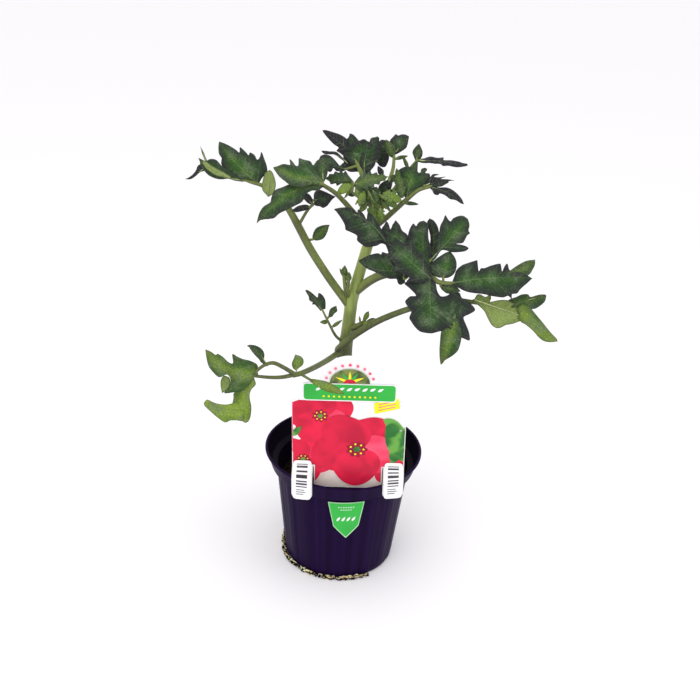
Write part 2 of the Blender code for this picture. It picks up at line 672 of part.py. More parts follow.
def root_strand(angle, turn, bulge, rise):
    """Points of one loose strand: it leaves the ring at an angle, swings out and back."""
    points = []
    for share, out, up in ((0, 0, 0), (0.35, 0.8, 0.6), (0.7, 1, 1), (1, 0.75, 1.15)):
        way = angle + turn * share
        radius = ROOT_RING + bulge * out
        points.append(Vector((radius * math.cos(way), radius * math.sin(way),
                              ROOT_HEIGHT + rise * up)))
    return points


def make_roots():
    """Pale root strands that have grown out under the pot and lie round its foot."""
    rng = random.Random(11)
    first, last = (math.radians(angle) for angle in ROOT_SECTOR)
    steps = 26
    runner = []
    for k in range(steps + 1):
        angle = first + (last - first) * k / steps
        radius = ROOT_RING + 0.15 * math.sin(5 * angle) + 0.1 * math.sin(11 * angle + 1)
        height = ROOT_HEIGHT + 0.3 * math.sin(7 * angle)
        runner.append(Vector((radius * math.cos(angle), radius * math.sin(angle), height)))
    pieces = [tube("foot_roots", runner, [ROOT_THICK] * len(runner), 0)]
    for k in range(ROOT_STRANDS):
        angle = first + (last - first) * (k + rng.uniform(0.1, 0.9)) / ROOT_STRANDS
        turn = rng.uniform(0.08, 0.2) * (-1 if angle > (first + last) / 2 else 1)
        bulge = rng.uniform(0.7, 2.4)
        rise = rng.uniform(0.2, 1.8)
        if angle < math.radians(CLIMB_END):
            rise = rng.uniform(3, 8)
            bulge = rng.uniform(1.0, 2.0)
        strand = root_strand(angle, turn, bulge, rise)
        pieces.append(tube(f"strand_{k}", strand, spread((0.6, 0.42), len(strand)), 0))
    roots = fuse("foot_roots", pieces, "MANIFOLD")
    keep_largest(roots)
    roots.data.materials.clear()
    roots.data.materials.append(bpy.data.materials["root"])
    return roots


# --- Label card and shield ----------------------------------------------------------------
def card_outline():
    """The card's outline, across and up, from its middle round the right side and back."""
    half = CARD_HALF_WIDTH
    inner = half - LEG_WIDTH
    tongue = inner - SLIT
    right = [(0, TONGUE_FOOT), (tongue - 2, TONGUE_FOOT), (tongue, TONGUE_FOOT + 2),
             (tongue, BEND_TOP), *((inner, z) for z in LEG_LEVELS[::-1])]
    leg_middle = (inner + half) / 2
    leg_half = LEG_WIDTH / 2
    for k in range(1, 6):
        angle = math.pi * k / 6
        right.append((leg_middle - leg_half * math.cos(angle),
                      LEG_FOOT + leg_half * 0.6 * (1 - math.sin(angle))))
    right += [*((half, z) for z in LEG_LEVELS), (half, SHOULDER), (BANNER_HALF, BANNER_FOOT),
              (BANNER_HALF, BANNER_TOP - 1.5), (BANNER_HALF - 1.5, BANNER_TOP)]
    for k in range(7):
        angle = math.pi / 2 * k / 6
        right.append((ARCH_RADIUS * math.cos(angle), BANNER_TOP + ARCH_RADIUS * math.sin(angle)))
    left = [(-x, z) for x, z in reversed(right[1:-1])]
    return right + left


def card_place(across, height):
    """Where a point of the flat card stands: the legs bend out over the rim, the rest is flat."""
    lean = Matrix.Rotation(-CARD_TURN, 2)
    x, z = lean @ Vector((across, height - POT_HEIGHT))
    x += CARD_CENTRE
    z += POT_HEIGHT
    if abs(across) < CARD_HALF_WIDTH - LEG_WIDTH - SLIT * 0.5:
        return x, CARD_FRONT, z
    share = min(1.0, max(0.0, (BEND_TOP - height) / (BEND_TOP - POT_HEIGHT - 3)))
    share = share * share * (3 - 2 * share)
    outside = RIM_RADIUS + GAP + CARD_THICK
    bent = min(CARD_FRONT, -math.sqrt(outside**2 - x**2))
    return x, CARD_FRONT + share * (bent - CARD_FRONT), z


def sheet(name, outline, within, place, thick):
    """A thin closed sheet: a flat outline, placed point by point, and thickened towards +Y."""
    flat = [Vector(p) for p in [*outline, *within]]
    rim = [(k, (k + 1) % len(outline)) for k in range(len(outline))]
    spots, _, faces, *_ = delaunay_2d_cdt(flat, rim, [], 1, 1e-6)
    bm = bmesh.new()
    verts = [bm.verts.new(place(x, z)) for x, z in spots]
    for corners in faces:
        bm.faces.new([verts[k] for k in corners])
    made = bmesh.ops.extrude_face_region(bm, geom=bm.faces[:])
    moved = [g for g in made["geom"] if isinstance(g, bmesh.types.BMVert)]
    bmesh.ops.translate(bm, vec=(0, thick, 0), verts=moved)
    bmesh.ops.recalc_face_normals(bm, faces=bm.faces)
    bmesh.ops.triangulate(bm, faces=bm.faces)
    return add_object(name, bm, smooth=False)


def make_card():
    """The thin printed plastic card: a picture panel, a banner and an arch, and two legs."""
    inner = CARD_HALF_WIDTH - LEG_WIDTH
    within = [(side * (inner + LEG_WIDTH * share), z)
              for side in (-1, 1) for share in (0.33, 0.67) for z in LEG_LEVELS]
    card = sheet("label_card", card_outline(), within, card_place, CARD_THICK)
    card.data.materials.append(bpy.data.materials["card"])
    return card


def shield_place(across, height):
    """Where a point of the sticker lies: just off the wall, turned like the card."""
    lean = Matrix.Rotation(-CARD_TURN, 2)
    x, z = lean @ Vector((across, height - SHIELD_TOP))
    x += SHIELD_CENTRE
    z += SHIELD_TOP
    radius = wall_radius(z) + GAP + SHIELD_THICK
    return x, -math.sqrt(radius**2 - x * x), z


def make_shield():
    """The small shield-shaped sticker on the pot's front wall."""
    top = [(SHIELD_HALF_TOP * k / 2, SHIELD_TOP) for k in (2, 1, 0, -1, -2)]
    outline = [*top, (-SHIELD_HALF_FOOT, SHIELD_SIDE), (0, SHIELD_TIP), (SHIELD_HALF_FOOT, SHIELD_SIDE)]
    within = [(side * SHIELD_HALF_FOOT / 2, z) for side in (-1, 0, 1) for z in (SHIELD_SIDE, SHIELD_MIDDLE)]
    shield = sheet("shield_sticker", outline, within, shield_place, SHIELD_THICK)
    shield.data.materials.append(bpy.data.materials["shield"])
    return shield


def make_stem(name, extra):
    """The main stem, or a fatter copy of it that cuts room for it."""
    points = smooth_route([p for p, _ in STEM_ROUTE], 3)
    radii = [r + extra for r in spread([r for _, r in STEM_ROUTE], len(points))]
    stem = tube(name, points, radii, 2)
    stem.data.materials.clear()
    stem.data.materials.append(bpy.data.materials["stem"])
    return stem


def main():
    """Build every piece of the potted plant."""
    for old in list(bpy.data.objects):
        bpy.data.objects.remove(old, do_unlink=True)
    for name in COLOURS:
        material(name)
    make_pot()
    make_stem("main_stem", 0)
    stem_cutter = make_stem("stem_cutter", GAP)
    make_soil(stem_cutter)
    make_roots()
    make_card()
    make_shield()
    for name, (stalks, leaflets) in LEAVES.items():
        leaf(name, stalks, leaflets, stem_cutter)
    drop(stem_cutter)


main()
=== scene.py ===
"""A young tomato plant in a thin nursery pot, dressed over its solid model.

Sizes in the tables are millimetres, in the frame of the solid model: +Z up, origin at the middle
of the pot's underside, the label facing -Y. Each leaf is rebuilt finely from the same stalks and
leaflets as its solid: a blade cut along its veins, thin and double sided.
"""

import math
import random
from collections import namedtuple
from functools import partial

import bmesh
import bpy
from mathutils import Matrix, Vector, kdtree, noise


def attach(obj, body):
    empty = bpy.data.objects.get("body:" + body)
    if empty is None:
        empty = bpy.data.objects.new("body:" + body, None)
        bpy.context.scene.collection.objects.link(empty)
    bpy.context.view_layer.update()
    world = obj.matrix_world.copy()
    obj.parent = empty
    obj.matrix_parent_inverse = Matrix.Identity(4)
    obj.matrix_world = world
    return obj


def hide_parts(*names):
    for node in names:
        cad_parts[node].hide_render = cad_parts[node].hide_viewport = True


bl_info = {
    "name": "Potted tomato plant",
    "version": (1, 0, 0),
    "blender": (4, 5, 0),
    "location": "View3D > Sidebar > Tomato plant",
    "description": "Builds a young potted tomato plant, piece by piece, over its solid model",
    "category": "Object",
}

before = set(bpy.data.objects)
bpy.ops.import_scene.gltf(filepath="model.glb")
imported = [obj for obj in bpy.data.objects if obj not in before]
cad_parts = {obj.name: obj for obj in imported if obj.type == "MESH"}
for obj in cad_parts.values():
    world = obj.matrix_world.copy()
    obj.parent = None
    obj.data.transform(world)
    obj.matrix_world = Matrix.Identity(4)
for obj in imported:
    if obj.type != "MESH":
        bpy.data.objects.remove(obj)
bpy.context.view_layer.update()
MM = 0.001


def linear(code):
    """An sRGB hex colour as linear red, green and blue."""
    found = []
    for k in (1, 3, 5):
        value = int(code[k:k + 2], 16) / 255
        found.append(value / 12.92 if value <= 0.04045 else ((value + 0.055) / 1.055) ** 2.4)
    return tuple(found)


def length(name, text, default):
    """A size that a user may change, in metres."""
    return bpy.props.FloatProperty(name=name, description=text, default=default, min=0,
                                   precision=5, unit="LENGTH")


def colour(name, text, code):
    """A colour that a user may change."""
    return bpy.props.FloatVectorProperty(name=name, description=text, default=linear(code),
                                         min=0, max=1, size=3, subtype="COLOR")


# --- What a user would change -----------------------------------------------------------------
class PotSettings(bpy.types.PropertyGroup):
    """The nursery pot, the peat in it and the roots at its foot."""

    height: length("Height", "Height of the rim above the floor", 0.0784)
    rim_radius: length("Rim radius", "Outer radius of the rolled lip", 0.05)
    base_radius: length("Base radius", "Outer radius at the foot of the wall", 0.0354)
    wall: length("Wall", "Thickness of the wall", 0.0009)
    flute_depth: length("Flute depth", "How far every other panel is pressed in", 0.0003)
    soil_height: length("Peat height", "Height of the peat's surface", 0.054)
    strands: bpy.props.IntProperty(name="Root strands", description="Loose strands at the foot",
                                   default=150, min=0, max=600)
    plastic: colour("Plastic", "Colour of the pot", "#1b0b2f")
    peat: colour("Peat", "Colour of damp peat", "#21160f")
    root: colour("Roots", "Colour of fresh root strands", "#f3e6b6")


class CardSettings(bpy.types.PropertyGroup):
    """The printed label card and the sticker."""

    ink_lift: length("Ink lift", "How far each printed shape stands off the one below", 0.000008)
    white: colour("White", "Colour of the bare card", "#f4f4f4")
    green: colour("Green", "Colour of the banner", "#3bb54a")
    red: colour("Red", "Colour of the printed flowers", "#e8274a")
    yellow: colour("Yellow", "Colour of the slanted patch", "#f7ee2c")


class PlantSettings(bpy.types.PropertyGroup):
    """The stem and the leaves."""

    blade: length("Blade", "Thickness of a leaf blade", 0.00035)
    quilting: length("Quilting", "How far the blade rises between its veins", 0.0008)
    margin_wave: length("Wavy margin", "How far the margin waves up and down", 0.001)
    mature: colour("Mature leaf", "Upper side of an old leaf", "#30422f")
    middle: colour("Green leaf", "Upper side of a leaf in full growth", "#416a2c")
    young: colour("Young leaf", "Upper side of a leaf still unfolding", "#96b243")
    margin: colour("Margin", "Margin of an old leaf", "#2c2b31")
    under: colour("Underside", "Underside of a leaf", "#9fb466")
    stem: colour("Stem", "Colour of the main stem", "#86954a")
    petiole: colour("Petiole", "Colour of the leaf stalks", "#6e7a38")


class StageSettings(bpy.types.PropertyGroup):
    """The floor, the light and the camera."""

    floor_side: length("Floor", "Side of the pale floor", 14.0)
    light_power: bpy.props.FloatProperty(name="Light", description="Power of the main soft light",
                                         default=3.2, min=0, subtype="POWER")
    ambient: bpy.props.FloatProperty(name="Ambient", description="Strength of the even light",
                                     default=1.0, min=0)
    lens: bpy.props.FloatProperty(name="Lens", description="Focal length, in millimetres",
                                  default=50.5, min=10)
    paper: colour("Floor colour", "Colour of the floor", "#fcf9fd")


# --- The pot and what is in it, in millimetres ------------------------------------------------
LIP_WIDTH = 1.5
LIP_HEIGHT = 1.8
COLLAR_TOP_RADIUS = 48.9
COLLAR_FOOT_RADIUS = 46.2
COLLAR_HEIGHT = 10.0
STEP_HEIGHT = 1.6
WALL_TOP_RADIUS = 42.8
WALL_ROWS = 24
BASE_ROUND = 2.4
BASE_WALL = 1.2
FOOT_HOLLOW = 0.4
FLUTES = 18
FLUTE_CREASE = 2.6  # how sharply one panel steps to the next
SPIN_STEPS = 288
DRAIN_HOLES = 8
DRAIN_RADIUS = 3.2
DRAIN_RING = 26.0
RIM_WAVE = 0.25
RIM_SAG = 0.1
CREASE_ANGLE = math.radians(34)  # from this angle on, an edge of the plastic is sharp
WELD = 1e-4
GAP = 0.35

PEAT_STEPS = 120
PEAT_RINGS = 26
PEAT_LUMPS = 1.6
PEAT_CRUMBS = 420
PEAT_SEED = 4
HEAP_RADIUS = 5  # the peat is heaped round the stem
FOOT_CRUMBS = 640
ROOT_SECTOR = (158, 305)  # degrees: from the left, round the front, to the right
CLIMB_END = 200  # up to here the strands climb the wall
CLIMB_HEIGHT = 6.5
ROOT_SEED = 21
STRAND_POINTS = 6
LOWEST_STRAND = 0.35
ROOT_CLUMPS = (165, 174, 186, 194, 203, 217, 236, 239, 259, 263, 275, 278, 284, 296)

# --- The card and the sticker, in millimetres -------------------------------------------------
CARD_FRONT = -39.0
CARD_CENTRE = 3.7
CARD_TURN = math.radians(-1.7)
CARD_THICK = 0.6
CARD_HALF_WIDTH = 33.6
LEG_WIDTH = 12.4
LEG_FOLLOWS = 0.3  # how much of the rim's round a leg takes on
SLIT = 0.5
BEND_TOP = 88.0
PANEL_FOOT = 88.2
PANEL_TOP = 132.2
TONGUE_FOOT = 73.2
BANNER_TOP = 144.0

SHIELD_CENTRE = 3.6
SHIELD_TOP = 64.0
SHIELD_SIDE = 45.0
SHIELD_TIP = 35.6
SHIELD_HALF_TOP = 11.2
SHIELD_HALF_FOOT = 7.8
SHIELD_THICK = 0.6
SHIELD_FIELD = 0.94  # the green field's share of the sticker

# Each ink: its material, its main colour or the setting that holds it, the colour that clouds it
# or a share of the main one, and the width of the clouds.
CARD_INKS = (
    ("white polystyrene card", "white", 0.97, 30), ("green ink", "green", 0.9, 20),
    ("red ink", "red", "#c4213f", 14), ("pink ink", "#f58098", "#f04f70", 9),
    ("dark red ink", "#a81f3c", "#8f1a34", 8), ("leaf green ink", "#6aa84a", "#2f6f35", 7),
    ("yellow ink", "yellow", 0.95, 12), ("grey ink", "#3f3b42", "#55505a", 10),
    ("pale pink ink", "#f3e3dd", "#e9c9c4", 10), ("olive ink", "#7d8a4c", "#4c5a38", 6),
    ("crimson ink", "#dc2546", "#bd1e3d", 15), ("rose ink", "#e62f52", "#ef5a78", 16),
)
WHITE, GREEN, RED, PINK, DARK_RED, LEAF, YELLOW, GREY, PALE, OLIVE, PETAL, ROSE = range(12)

# Poppies: across, height, size and turn. Printed leaves: foot, tip and half width.
POPPIES = ((-17, 122, 19, 0.5), (-27, 92, 17, 1.1), (27, 87, 12, 0.2), (5, 100, 25, 0.9))
CARD_LEAVES = (((33, 92), (22, 122), 6), ((26, 90), (34, 117), 4.5), ((20, 121), (33, 114), 3),
               ((-33.5, 108), (-28, 115), 2))
# Plain bars on each white tab: height above the floor, thickness and length
TAB_BARS = (
    (88.4, 0.6, 6.6), (86.7, 1.0, 6.6), (85.1, 0.6, 6.6), (83.1, 1.2, 6.6), (81.3, 0.8, 6.6),
    (79.3, 1.2, 6.6), (77.6, 0.7, 6.6), (75.4, 0.5, 5.0), (73.9, 0.5, 5.6), (72.4, 0.5, 4.4),
)
# Rows of small leaves on the sticker: how many, how far apart, the row's middle, its height above
# the floor, and each leaf's half length across, rise and half width
SHIELD_LEAVES = ((4, 3.1, 0.05, 49.4, 1.1, 3.6, 0.75), (7, 1.5, 0, 60, 0.45, 0.9, 0.3),
                 (5, 1.5, 0, 58, 0.45, 0.9, 0.3))

# --- The stage, in metres ---------------------------------------------------------------------
# Each light: its place, its side and its share of the main light's power
LIGHTS = (("main soft light", (-0.35, -0.7, 0.95), 0.9, 1.0),
          ("fill light", (0.8, -0.3, 0.7), 0.8, 0.4))
LIT_SPOT = (0, 0, 0.12)
CAMERA_TARGET = (0.0008, 0, 0.1464)
CAMERA_DISTANCE = 0.6
CAMERA_TILT = math.radians(25.8)
CAMERA_ROLL = math.radians(3.12)

# --- The stem and the leaves, in millimetres --------------------------------------------------
# The main stem's route, and its radius at each point
STEM_ROUTE = (
    ((0, 0, 30), 4.4), ((-1, 0, 94), 4.3), ((-2, 0, 144), 4.2), ((-1, 0, 161), 4.0),
    ((0, 0, 177), 3.7), ((2, 0, 188), 3.5), ((5, 0, 202), 3.3), ((7, 0, 211), 3.2),
    ((10, 1, 222), 2.8), ((12, 2, 231), 2.4), ((12, 3, 239), 1.9),
)
STEM_SHADE_TOP = 0.147  # in metres: below this height the stem is darkened to a dull brown, painted shade under the lowest leaf stalks

VEIN_SLANT = 0.8  # a vein that ends this share further out leaves the rib that much lower
VEINS_APART = (2.2, 5.0)
FAINT_VEIN = 0.22
BLADE_STEP = 0.9  # how finely a blade is divided
BLADE_WELD = 0.08
MARGIN_PARTS = 8
ROLLED_MARGIN = 0.5  # how far the margin rolls down
CUPPING = 0.22  # how far both halves of a blade hang from its rib
RIB_PARTS = 12
RIB_REACH = 0.88  # how far along its blade a rib runs
SHORTEST_STALKLET = 0.8
FULL_LEAFLET = 26  # from this length on, a blade is fully quilted
MARKS = ("rib_mm", "vein_mm", "edge_mm", "tone", "purple")  # what a blade's points carry

# Settings of shader nodes that are used again and again
MIX = {"data_type": "RGBA"}
SMOOTH = {"interpolation_type": "SMOOTHSTEP"}

Stalk = namedtuple("Stalk", "route foot_radius tip_radius")
Leaflet = namedtuple("Leaflet", "foot tip tone right left purple face arch bow stalked")

# Which way a leaflet's upper side faces
FRONT = (0, -0.85, 0.5)
UPWARD = (0, -0.55, 0.83)
TURNED = (0, 0.75, -0.6)

# One side of a leaflet, from foot to tip: how far along and how far out each point of its margin
# lies, in turn, in percent of the leaflet's length
SIDES = {
    "plain": (10, 15, 40, 27, 75, 17),
    "slim": (15, 8, 45, 13, 80, 8),
    "toothed": (10, 10, 34, 19, 40, 13, 62, 17, 68, 10, 86, 8),
    "lobed": (7, 12, 28, 34, 32, 20, 56, 36, 60, 20, 80, 20),
}


def leaflet(foot, tip, tone, right, left=None, purple=0, face=FRONT, arch=0.06, bow=0.0,
            stalked=True):
    """A leaflet, from old and dark at tone 0 to young and pale at 1.

    Its sides are named or given in percent, and alike unless the left one is given too."""
    sides = []
    for side in (right, left or right):
        flat = SIDES.get(side, side)
        sides.append([(along / 100, out / 100) for along, out in zip(flat[::2], flat[1::2])])
    return Leaflet(foot, tip, tone, *sides, purple, face, arch, bow, stalked)


OLD_LEAVES = ("leaf_low_left", "leaf_low_right")  # their stalks are darker

# Every leaf: its stalks, then its leaflets
LEAVES = {
    "leaf_low_left": ([
        Stalk(((-4.6, -3, 146.2), (-7.5, -7, 146.3), (-11.4, -14, 146.4), (-16.3, -27, 149),
            (-21.4, -40, 152), (-26, -50, 154.4), (-30, -54, 155)), 1.8, 1.5),
        Stalk(((-29, -53, 155), (-36, -58, 162), (-41, -60, 165), (-46, -62, 164),
            (-51, -64, 160)), 1.2, 0.9),
        Stalk(((-29, -53, 155), (-36, -57, 155), (-43, -60, 156), (-52, -63, 158)), 1.2, 0.9),
    ], [
        leaflet((-49.3, -63, 159.2), (-76.6, -68, 175.1), 0.55, (6, 18, 21, 26, 35, 27, 45, 28,
            55, 28, 47, 15, 55, 13, 68, 15, 78, 13, 80, 9, 90, 6), (4, 18, 11, 31, 24, 34, 38, 38,
            36, 24, 40, 12, 49, 7, 58, 17, 71, 16, 83, 14, 92, 8), bow=-0.16),
        leaflet((-52.1, -63, 157.8), (-56.7, -70, 132.8), 0.7, (24, 10, 44, 25, 54, 24, 68, 24,
            83, 25, 100, 19), (14, 14, 26, 9, 38, 8, 50, 11, 62, 16, 77, 18, 92, 16, 101, 9),
            arch=0.05, bow=0.04),
        leaflet((-29, -53, 155), (-29.3, -51, 166.5), 0.6, (26, 4, 47, 25, 72, 30, 89, 22), (18, 4,
            32, 21, 55, 28, 81, 14), face=(0.2, -0.9, 0.3), bow=0.11),
        leaflet((-20, -55, 153), (-1, -54, 145), 0.65, "slim", arch=0.08),
        leaflet((-44, -61, 164), (-55.2, -60, 174.7), 0.35, (20, 1, 35, 14, 53, 19, 74, 17, 92, 9),
            (23, 14, 36, 13, 56, 13, 78, 8, 92, 1), purple=0.1, bow=0.08),
        leaflet((-64.6, -64, 156.9), (-67.8, -67, 148.4), 0.6, (16, 18, 47, 26, 77, 15), (4, 29,
            32, 34, 70, 19), face=TURNED, arch=-0.1, stalked=False),
        leaflet((-54.7, -68, 139.1), (-77.1, -73, 145.3), 0.85, (16, 22, 38, 14, 50, 10, 66, 8,
            80, 8, 94, 9), (2, 25, 17, 24, 33, 25, 44, 31, 62, 24, 80, 15, 96, 7), arch=0.08,
            bow=-0.06, stalked=False),
    ]),
    "leaf_low_right": ([
        Stalk(((-2.6, -1.5, 141.5), (-5.6, -2.8, 144.6), (-6.2, -4.2, 148), (-4.7, -7, 151.8),
            (-1.3, -9, 156.6), (3.3, -10, 161.6), (11, -13, 169), (20, -18, 177), (33, -24, 186),
            (47, -29, 193), (58, -31, 196), (70, -33, 196)), 2.4, 1.2),
    ], [
        leaflet((68.4, -33, 197.5), (100.7, -34, 188.2), 0.3, (2, 10, 8, 13, 17, 12, 22, 18,
            26, 12, 26, 6, 38, 13, 51, 18, 62, 17, 77, 16, 91, 13), (2, 6, 10, 7, 20, 13, 28, 23,
            37, 32, 47, 34, 55, 30, 62, 23, 73, 17, 84, 9, 94, 5), face=TURNED, arch=-0.05,
            bow=-0.02),
        leaflet((87.8, -33, 193.8), (109.1, -29, 200.9), 0.38, (14, 5, 33, 11, 50, 20, 62, 25,
            78, 21, 92, 13), (5, 16, 14, 18, 27, 17, 42, 18, 57, 14, 61, 6, 77, 6, 90, 5),
            bow=-0.03, stalked=False),
        leaflet((93.2, -33, 195.3), (118.1, -36, 176.2), 0.62, (9, 5, 20, 11, 31, 7, 46, 6, 61, 8,
            76, 9, 89, 6), (6, 12, 16, 20, 27, 21, 40, 20, 58, 16, 77, 10, 93, 5), arch=0.1,
            bow=0.12, stalked=False),
    ]),
    "leaf_mid_right": ([
        Stalk(((1, 0, 184), (7, -3, 191), (12, -8, 197), (18, -13, 202), (27, -20, 207),
            (40, -28, 210), (48, -33, 207), (58, -36, 208)), 2.7, 1),
        Stalk(((28, -21, 207), (24, -24, 214), (19, -24, 222)), 1.1, 0.8),
    ], [
        leaflet((20, -24, 221), (-12, -21, 242), 0.15, (9, 2, 20, 3, 30, 6, 40, 9, 50, 12, 58, 11,
            54, 2, 61, 6, 67, 8, 72, 9, 69, 1, 74, 5, 82, 8, 89, 6, 96, 3), (5, 1, 11, 3, 16, 7,
            19, 14, 25, 22, 32, 29, 42, 31, 48, 30, 52, 25, 64, 26, 70, 26, 75, 20, 85, 12, 94, 5),
            purple=0.05, bow=0.13, stalked=False),
        leaflet((27, -27, 212), (3, -32, 217), 0.2, (11, 19, 22, 32, 32, 38, 49, 42, 52, 36,
            60, 37, 75, 28, 88, 15, 96, 5), (-9, 19, -14, 30, -3, 38, 4, 32, 9, 22, 24, 19, 36, 15,
            49, 9, 64, 6, 78, 6, 90, 5, 97, 3), bow=-0.15),
        leaflet((29, -31, 207), (22.7, -15, 235.6), 0.15, (10, 15, 26, 22, 46, 24, 60, 22, 73, 18,
            79, 12, 83, 9, 92, 6), (13, 10, 30, 15, 48, 18, 63, 22, 76, 25, 88, 25, 94, 21,
            100, 17, 95, 13, 86, 10, 94, 6), face=UPWARD, bow=-0.04),
        leaflet((40, -34, 208), (38.1, -14, 235.9), 0.15, (13, 11, 29, 16, 49, 14, 61, 11, 69, 9,
            83, 8, 94, 7), (13, 10, 29, 18, 49, 24, 66, 25, 76, 24, 85, 22, 95, 17, 90, 12, 94, 10,
            99, 6), face=UPWARD, bow=-0.03),
        leaflet((42, -29, 217), (61.6, -22, 240.7), 0.24, (13, 4, 28, 2, 34, 8, 38, 17, 47, 27,
            56, 34, 63, 35, 63, 29, 59, 21, 55, 14, 63, 21, 71, 20, 78, 18, 84, 19, 86, 14, 94, 9),
            (13, 3, 33, 12, 47, 20, 59, 28, 70, 31, 79, 34, 77, 26, 77, 20, 84, 20, 94, 15,
            99, 9)),
        leaflet((50, -34, 210), (53, -29, 224), 0.25, (7, 20, 24, 34, 47, 37, 71, 30, 87, 17),
            (-3, 19, 2, 43, 15, 56, 38, 56, 57, 46, 77, 29, 92, 14)),
        leaflet((55, -36, 208), (97.8, -40, 214.9), 0.2, (7, 7, 16, 13, 27, 17, 39, 20, 49, 23,
            62, 25, 69, 23, 73, 27, 74, 21, 80, 20, 85, 14, 92, 8, 97, 3), (3, 9, 6, 16, 13, 21,
            22, 23, 31, 24, 33, 23, 34, 10, 37, 13, 42, 13, 50, 16, 60, 18, 62, 16, 63, 8, 66, 14,
            70, 18, 73, 9, 83, 7, 92, 4), bow=-0.03),
        leaflet((82, -40, 214), (99.5, -31, 222.6), 0.42, (29, 11, 52, 19, 64, 23, 78, 18, 92, 10),
            (9, 8, 28, 11, 47, 13, 70, 12, 87, 7), purple=0.05, bow=0.03, stalked=False),
        leaflet((49, -34, 205), (60, -37, 204), 0.3, "plain"),
        leaflet((42.7, -33, 210.4), (45.6, -46, 181.5), 0.12, (-5, 8, -3, 19, 6, 33, 11, 44,
            21, 34, 33, 24, 34, 34, 41, 42, 46, 42, 54, 37, 61, 33, 71, 37, 78, 34, 88, 28, 96, 20,
            99, 9), (6, 7, 16, 11, 27, 13, 36, 19, 35, 30, 29, 40, 31, 52, 40, 56, 48, 69, 61, 80,
            68, 71, 73, 59, 80, 59, 93, 64, 105, 67, 115, 67, 111, 56, 106, 46, 97, 34, 96, 20),
            face=(0, -0.87, 0.5), bow=0.02, stalked=False),
        leaflet((58, -41, 192), (52, -47, 163), 0.45, (17, 8, 29, 14, 41, 16, 63, 12, 80, 7,
            92, 3), (10, 8, 26, 19, 42, 24, 56, 25, 66, 23, 78, 14, 88, 5), face=(0.1, -0.95, 0.2),
            arch=0.08, bow=0.02, stalked=False),
        leaflet((44.3, -16, 214.7), (41.5, -12, 236.6), 0.1, (28, 9, 50, 15, 69, 15, 83, 13,
            94, 8), (27, 9, 57, 8, 77, 10, 92, 9), face=UPWARD, bow=0.06, stalked=False),
        leaflet((42.5, -37, 210.7), (18.2, -35, 228.9), 0.15, (13, 13, 28, 20, 40, 29, 43, 22,
            57, 25, 70, 30, 72, 20, 84, 17, 97, 16, 94, 8), (2, 15, 18, 24, 30, 32, 32, 23, 48, 26,
            63, 33, 64, 22, 80, 19, 90, 18, 88, 9), arch=0.03, stalked=False),
    ]),
    "leaf_upper_left": ([
        Stalk(((0, 0, 174), (-5, 0, 181), (-14, 0, 193), (-25, -1, 210), (-33, -2, 225),
            (-39, -2, 235), (-47, -2, 243.4), (-53.3, -2, 247.2), (-60.6, -2, 249)), 2.5, 0.9),
        Stalk(((-33, -2, 224), (-28, -3, 234), (-24, -4, 239), (-19, -6, 243)), 0.9, 0.7),
    ], [
        leaflet((-56.1, -2, 248.1), (-79.4, 8, 268.8), 0.28, (3, 12, 5, 26, 13, 34, 26, 41, 38, 46,
            33, 37, 33, 31, 41, 33, 49, 30, 47, 25, 53, 25, 67, 23, 61, 16, 70, 14, 88, 7), (11, 7,
            23, 16, 31, 22, 43, 27, 56, 24, 68, 20, 74, 14, 83, 13, 92, 8, 98, 3), bow=-0.04),
        leaflet((-64, -2, 250), (-88.7, -5, 262.3), 0.3, (18, 11, 36, 14, 50, 17, 66, 22, 78, 16,
            85, 6, 94, 2), (15, 3, 29, 2, 41, 8, 52, 12, 68, 14, 81, 12, 91, 9), arch=0.04,
            bow=-0.12),
        leaflet((-85.6, -4, 256.8), (-96.6, -6, 249.9), 0.3, (4, 21, 18, 27, 30, 25, 42, 15, 59, 7,
            76, 3), (12, 9, 25, 4, 38, 3, 52, 6, 69, 9, 86, 7), purple=0.5, arch=-0.05, bow=-0.04,
            stalked=False),
        leaflet((-83.9, -4, 258.6), (-88.4, -2, 267.7), 0.6, (27, 5, 67, 6), (23, 6, 54, 5),
            purple=0.1, bow=-0.02, stalked=False),
        leaflet((-49.9, -4, 242.3), (-49.1, -6, 257.9), 0.4, (22, 22, 54, 23, 85, 17, 94, 10),
            (15, 18, 46, 26, 74, 21, 95, 10), face=TURNED, arch=-0.1),
        leaflet((-24, -2, 217), (-15, -4, 227), 0.4, "plain"),
        leaflet((-25.8, -3, 236.9), (-36.4, -5, 234.9), 0.1, (22, 21, 59, 20, 82, 10), (24, 17,
            51, 21, 82, 18), purple=0.55, face=UPWARD),
        leaflet((-24.9, -4, 238.2), (-29.2, -6, 245), 0.1, (27, 24, 78, 23), (37, 21, 79, 24),
            purple=0.4),
        leaflet((-24.4, -5, 241.4), (-12, -8, 245.1), 0.1, (5, 24, 24, 30, 39, 39, 60, 33, 80, 15),
            (5, 32, 29, 40, 57, 27, 82, 11), purple=0.2),
        leaflet((-71.4, -6, 251.8), (-87.1, -8, 261.4), 0.5, (20, 7, 44, 13, 73, 11), (31, 9,
            61, 7, 86, 8), face=TURNED, arch=-0.04, bow=0.06, stalked=False),
    ]),
    "leaf_front_left": ([
        Stalk(((10, 1, 221), (4, -3, 229), (-2, -5, 236), (-7, -7, 242), (-13, -12, 249),
            (-21, -20, 256)), 1.7, 1.1),
    ], [
        leaflet((-19, -19, 255), (-52.9, -38, 237.2), 0.3, (9, 8, 24, 10, 38, 14, 47, 16, 56, 17,
            66, 11, 70, 8, 79, 10, 88, 7, 95, 3), (11, 9, 19, 8, 29, 11, 34, 16, 41, 19, 50, 18,
            55, 17, 63, 16, 71, 14, 79, 14, 87, 9, 94, 4), face=UPWARD, arch=0.08, bow=0.08),
        leaflet((-19, -19, 256), (-46.1, -20, 263.1), 0.38, (6, 16, 14, 37, 17, 61, 22, 55, 26, 42,
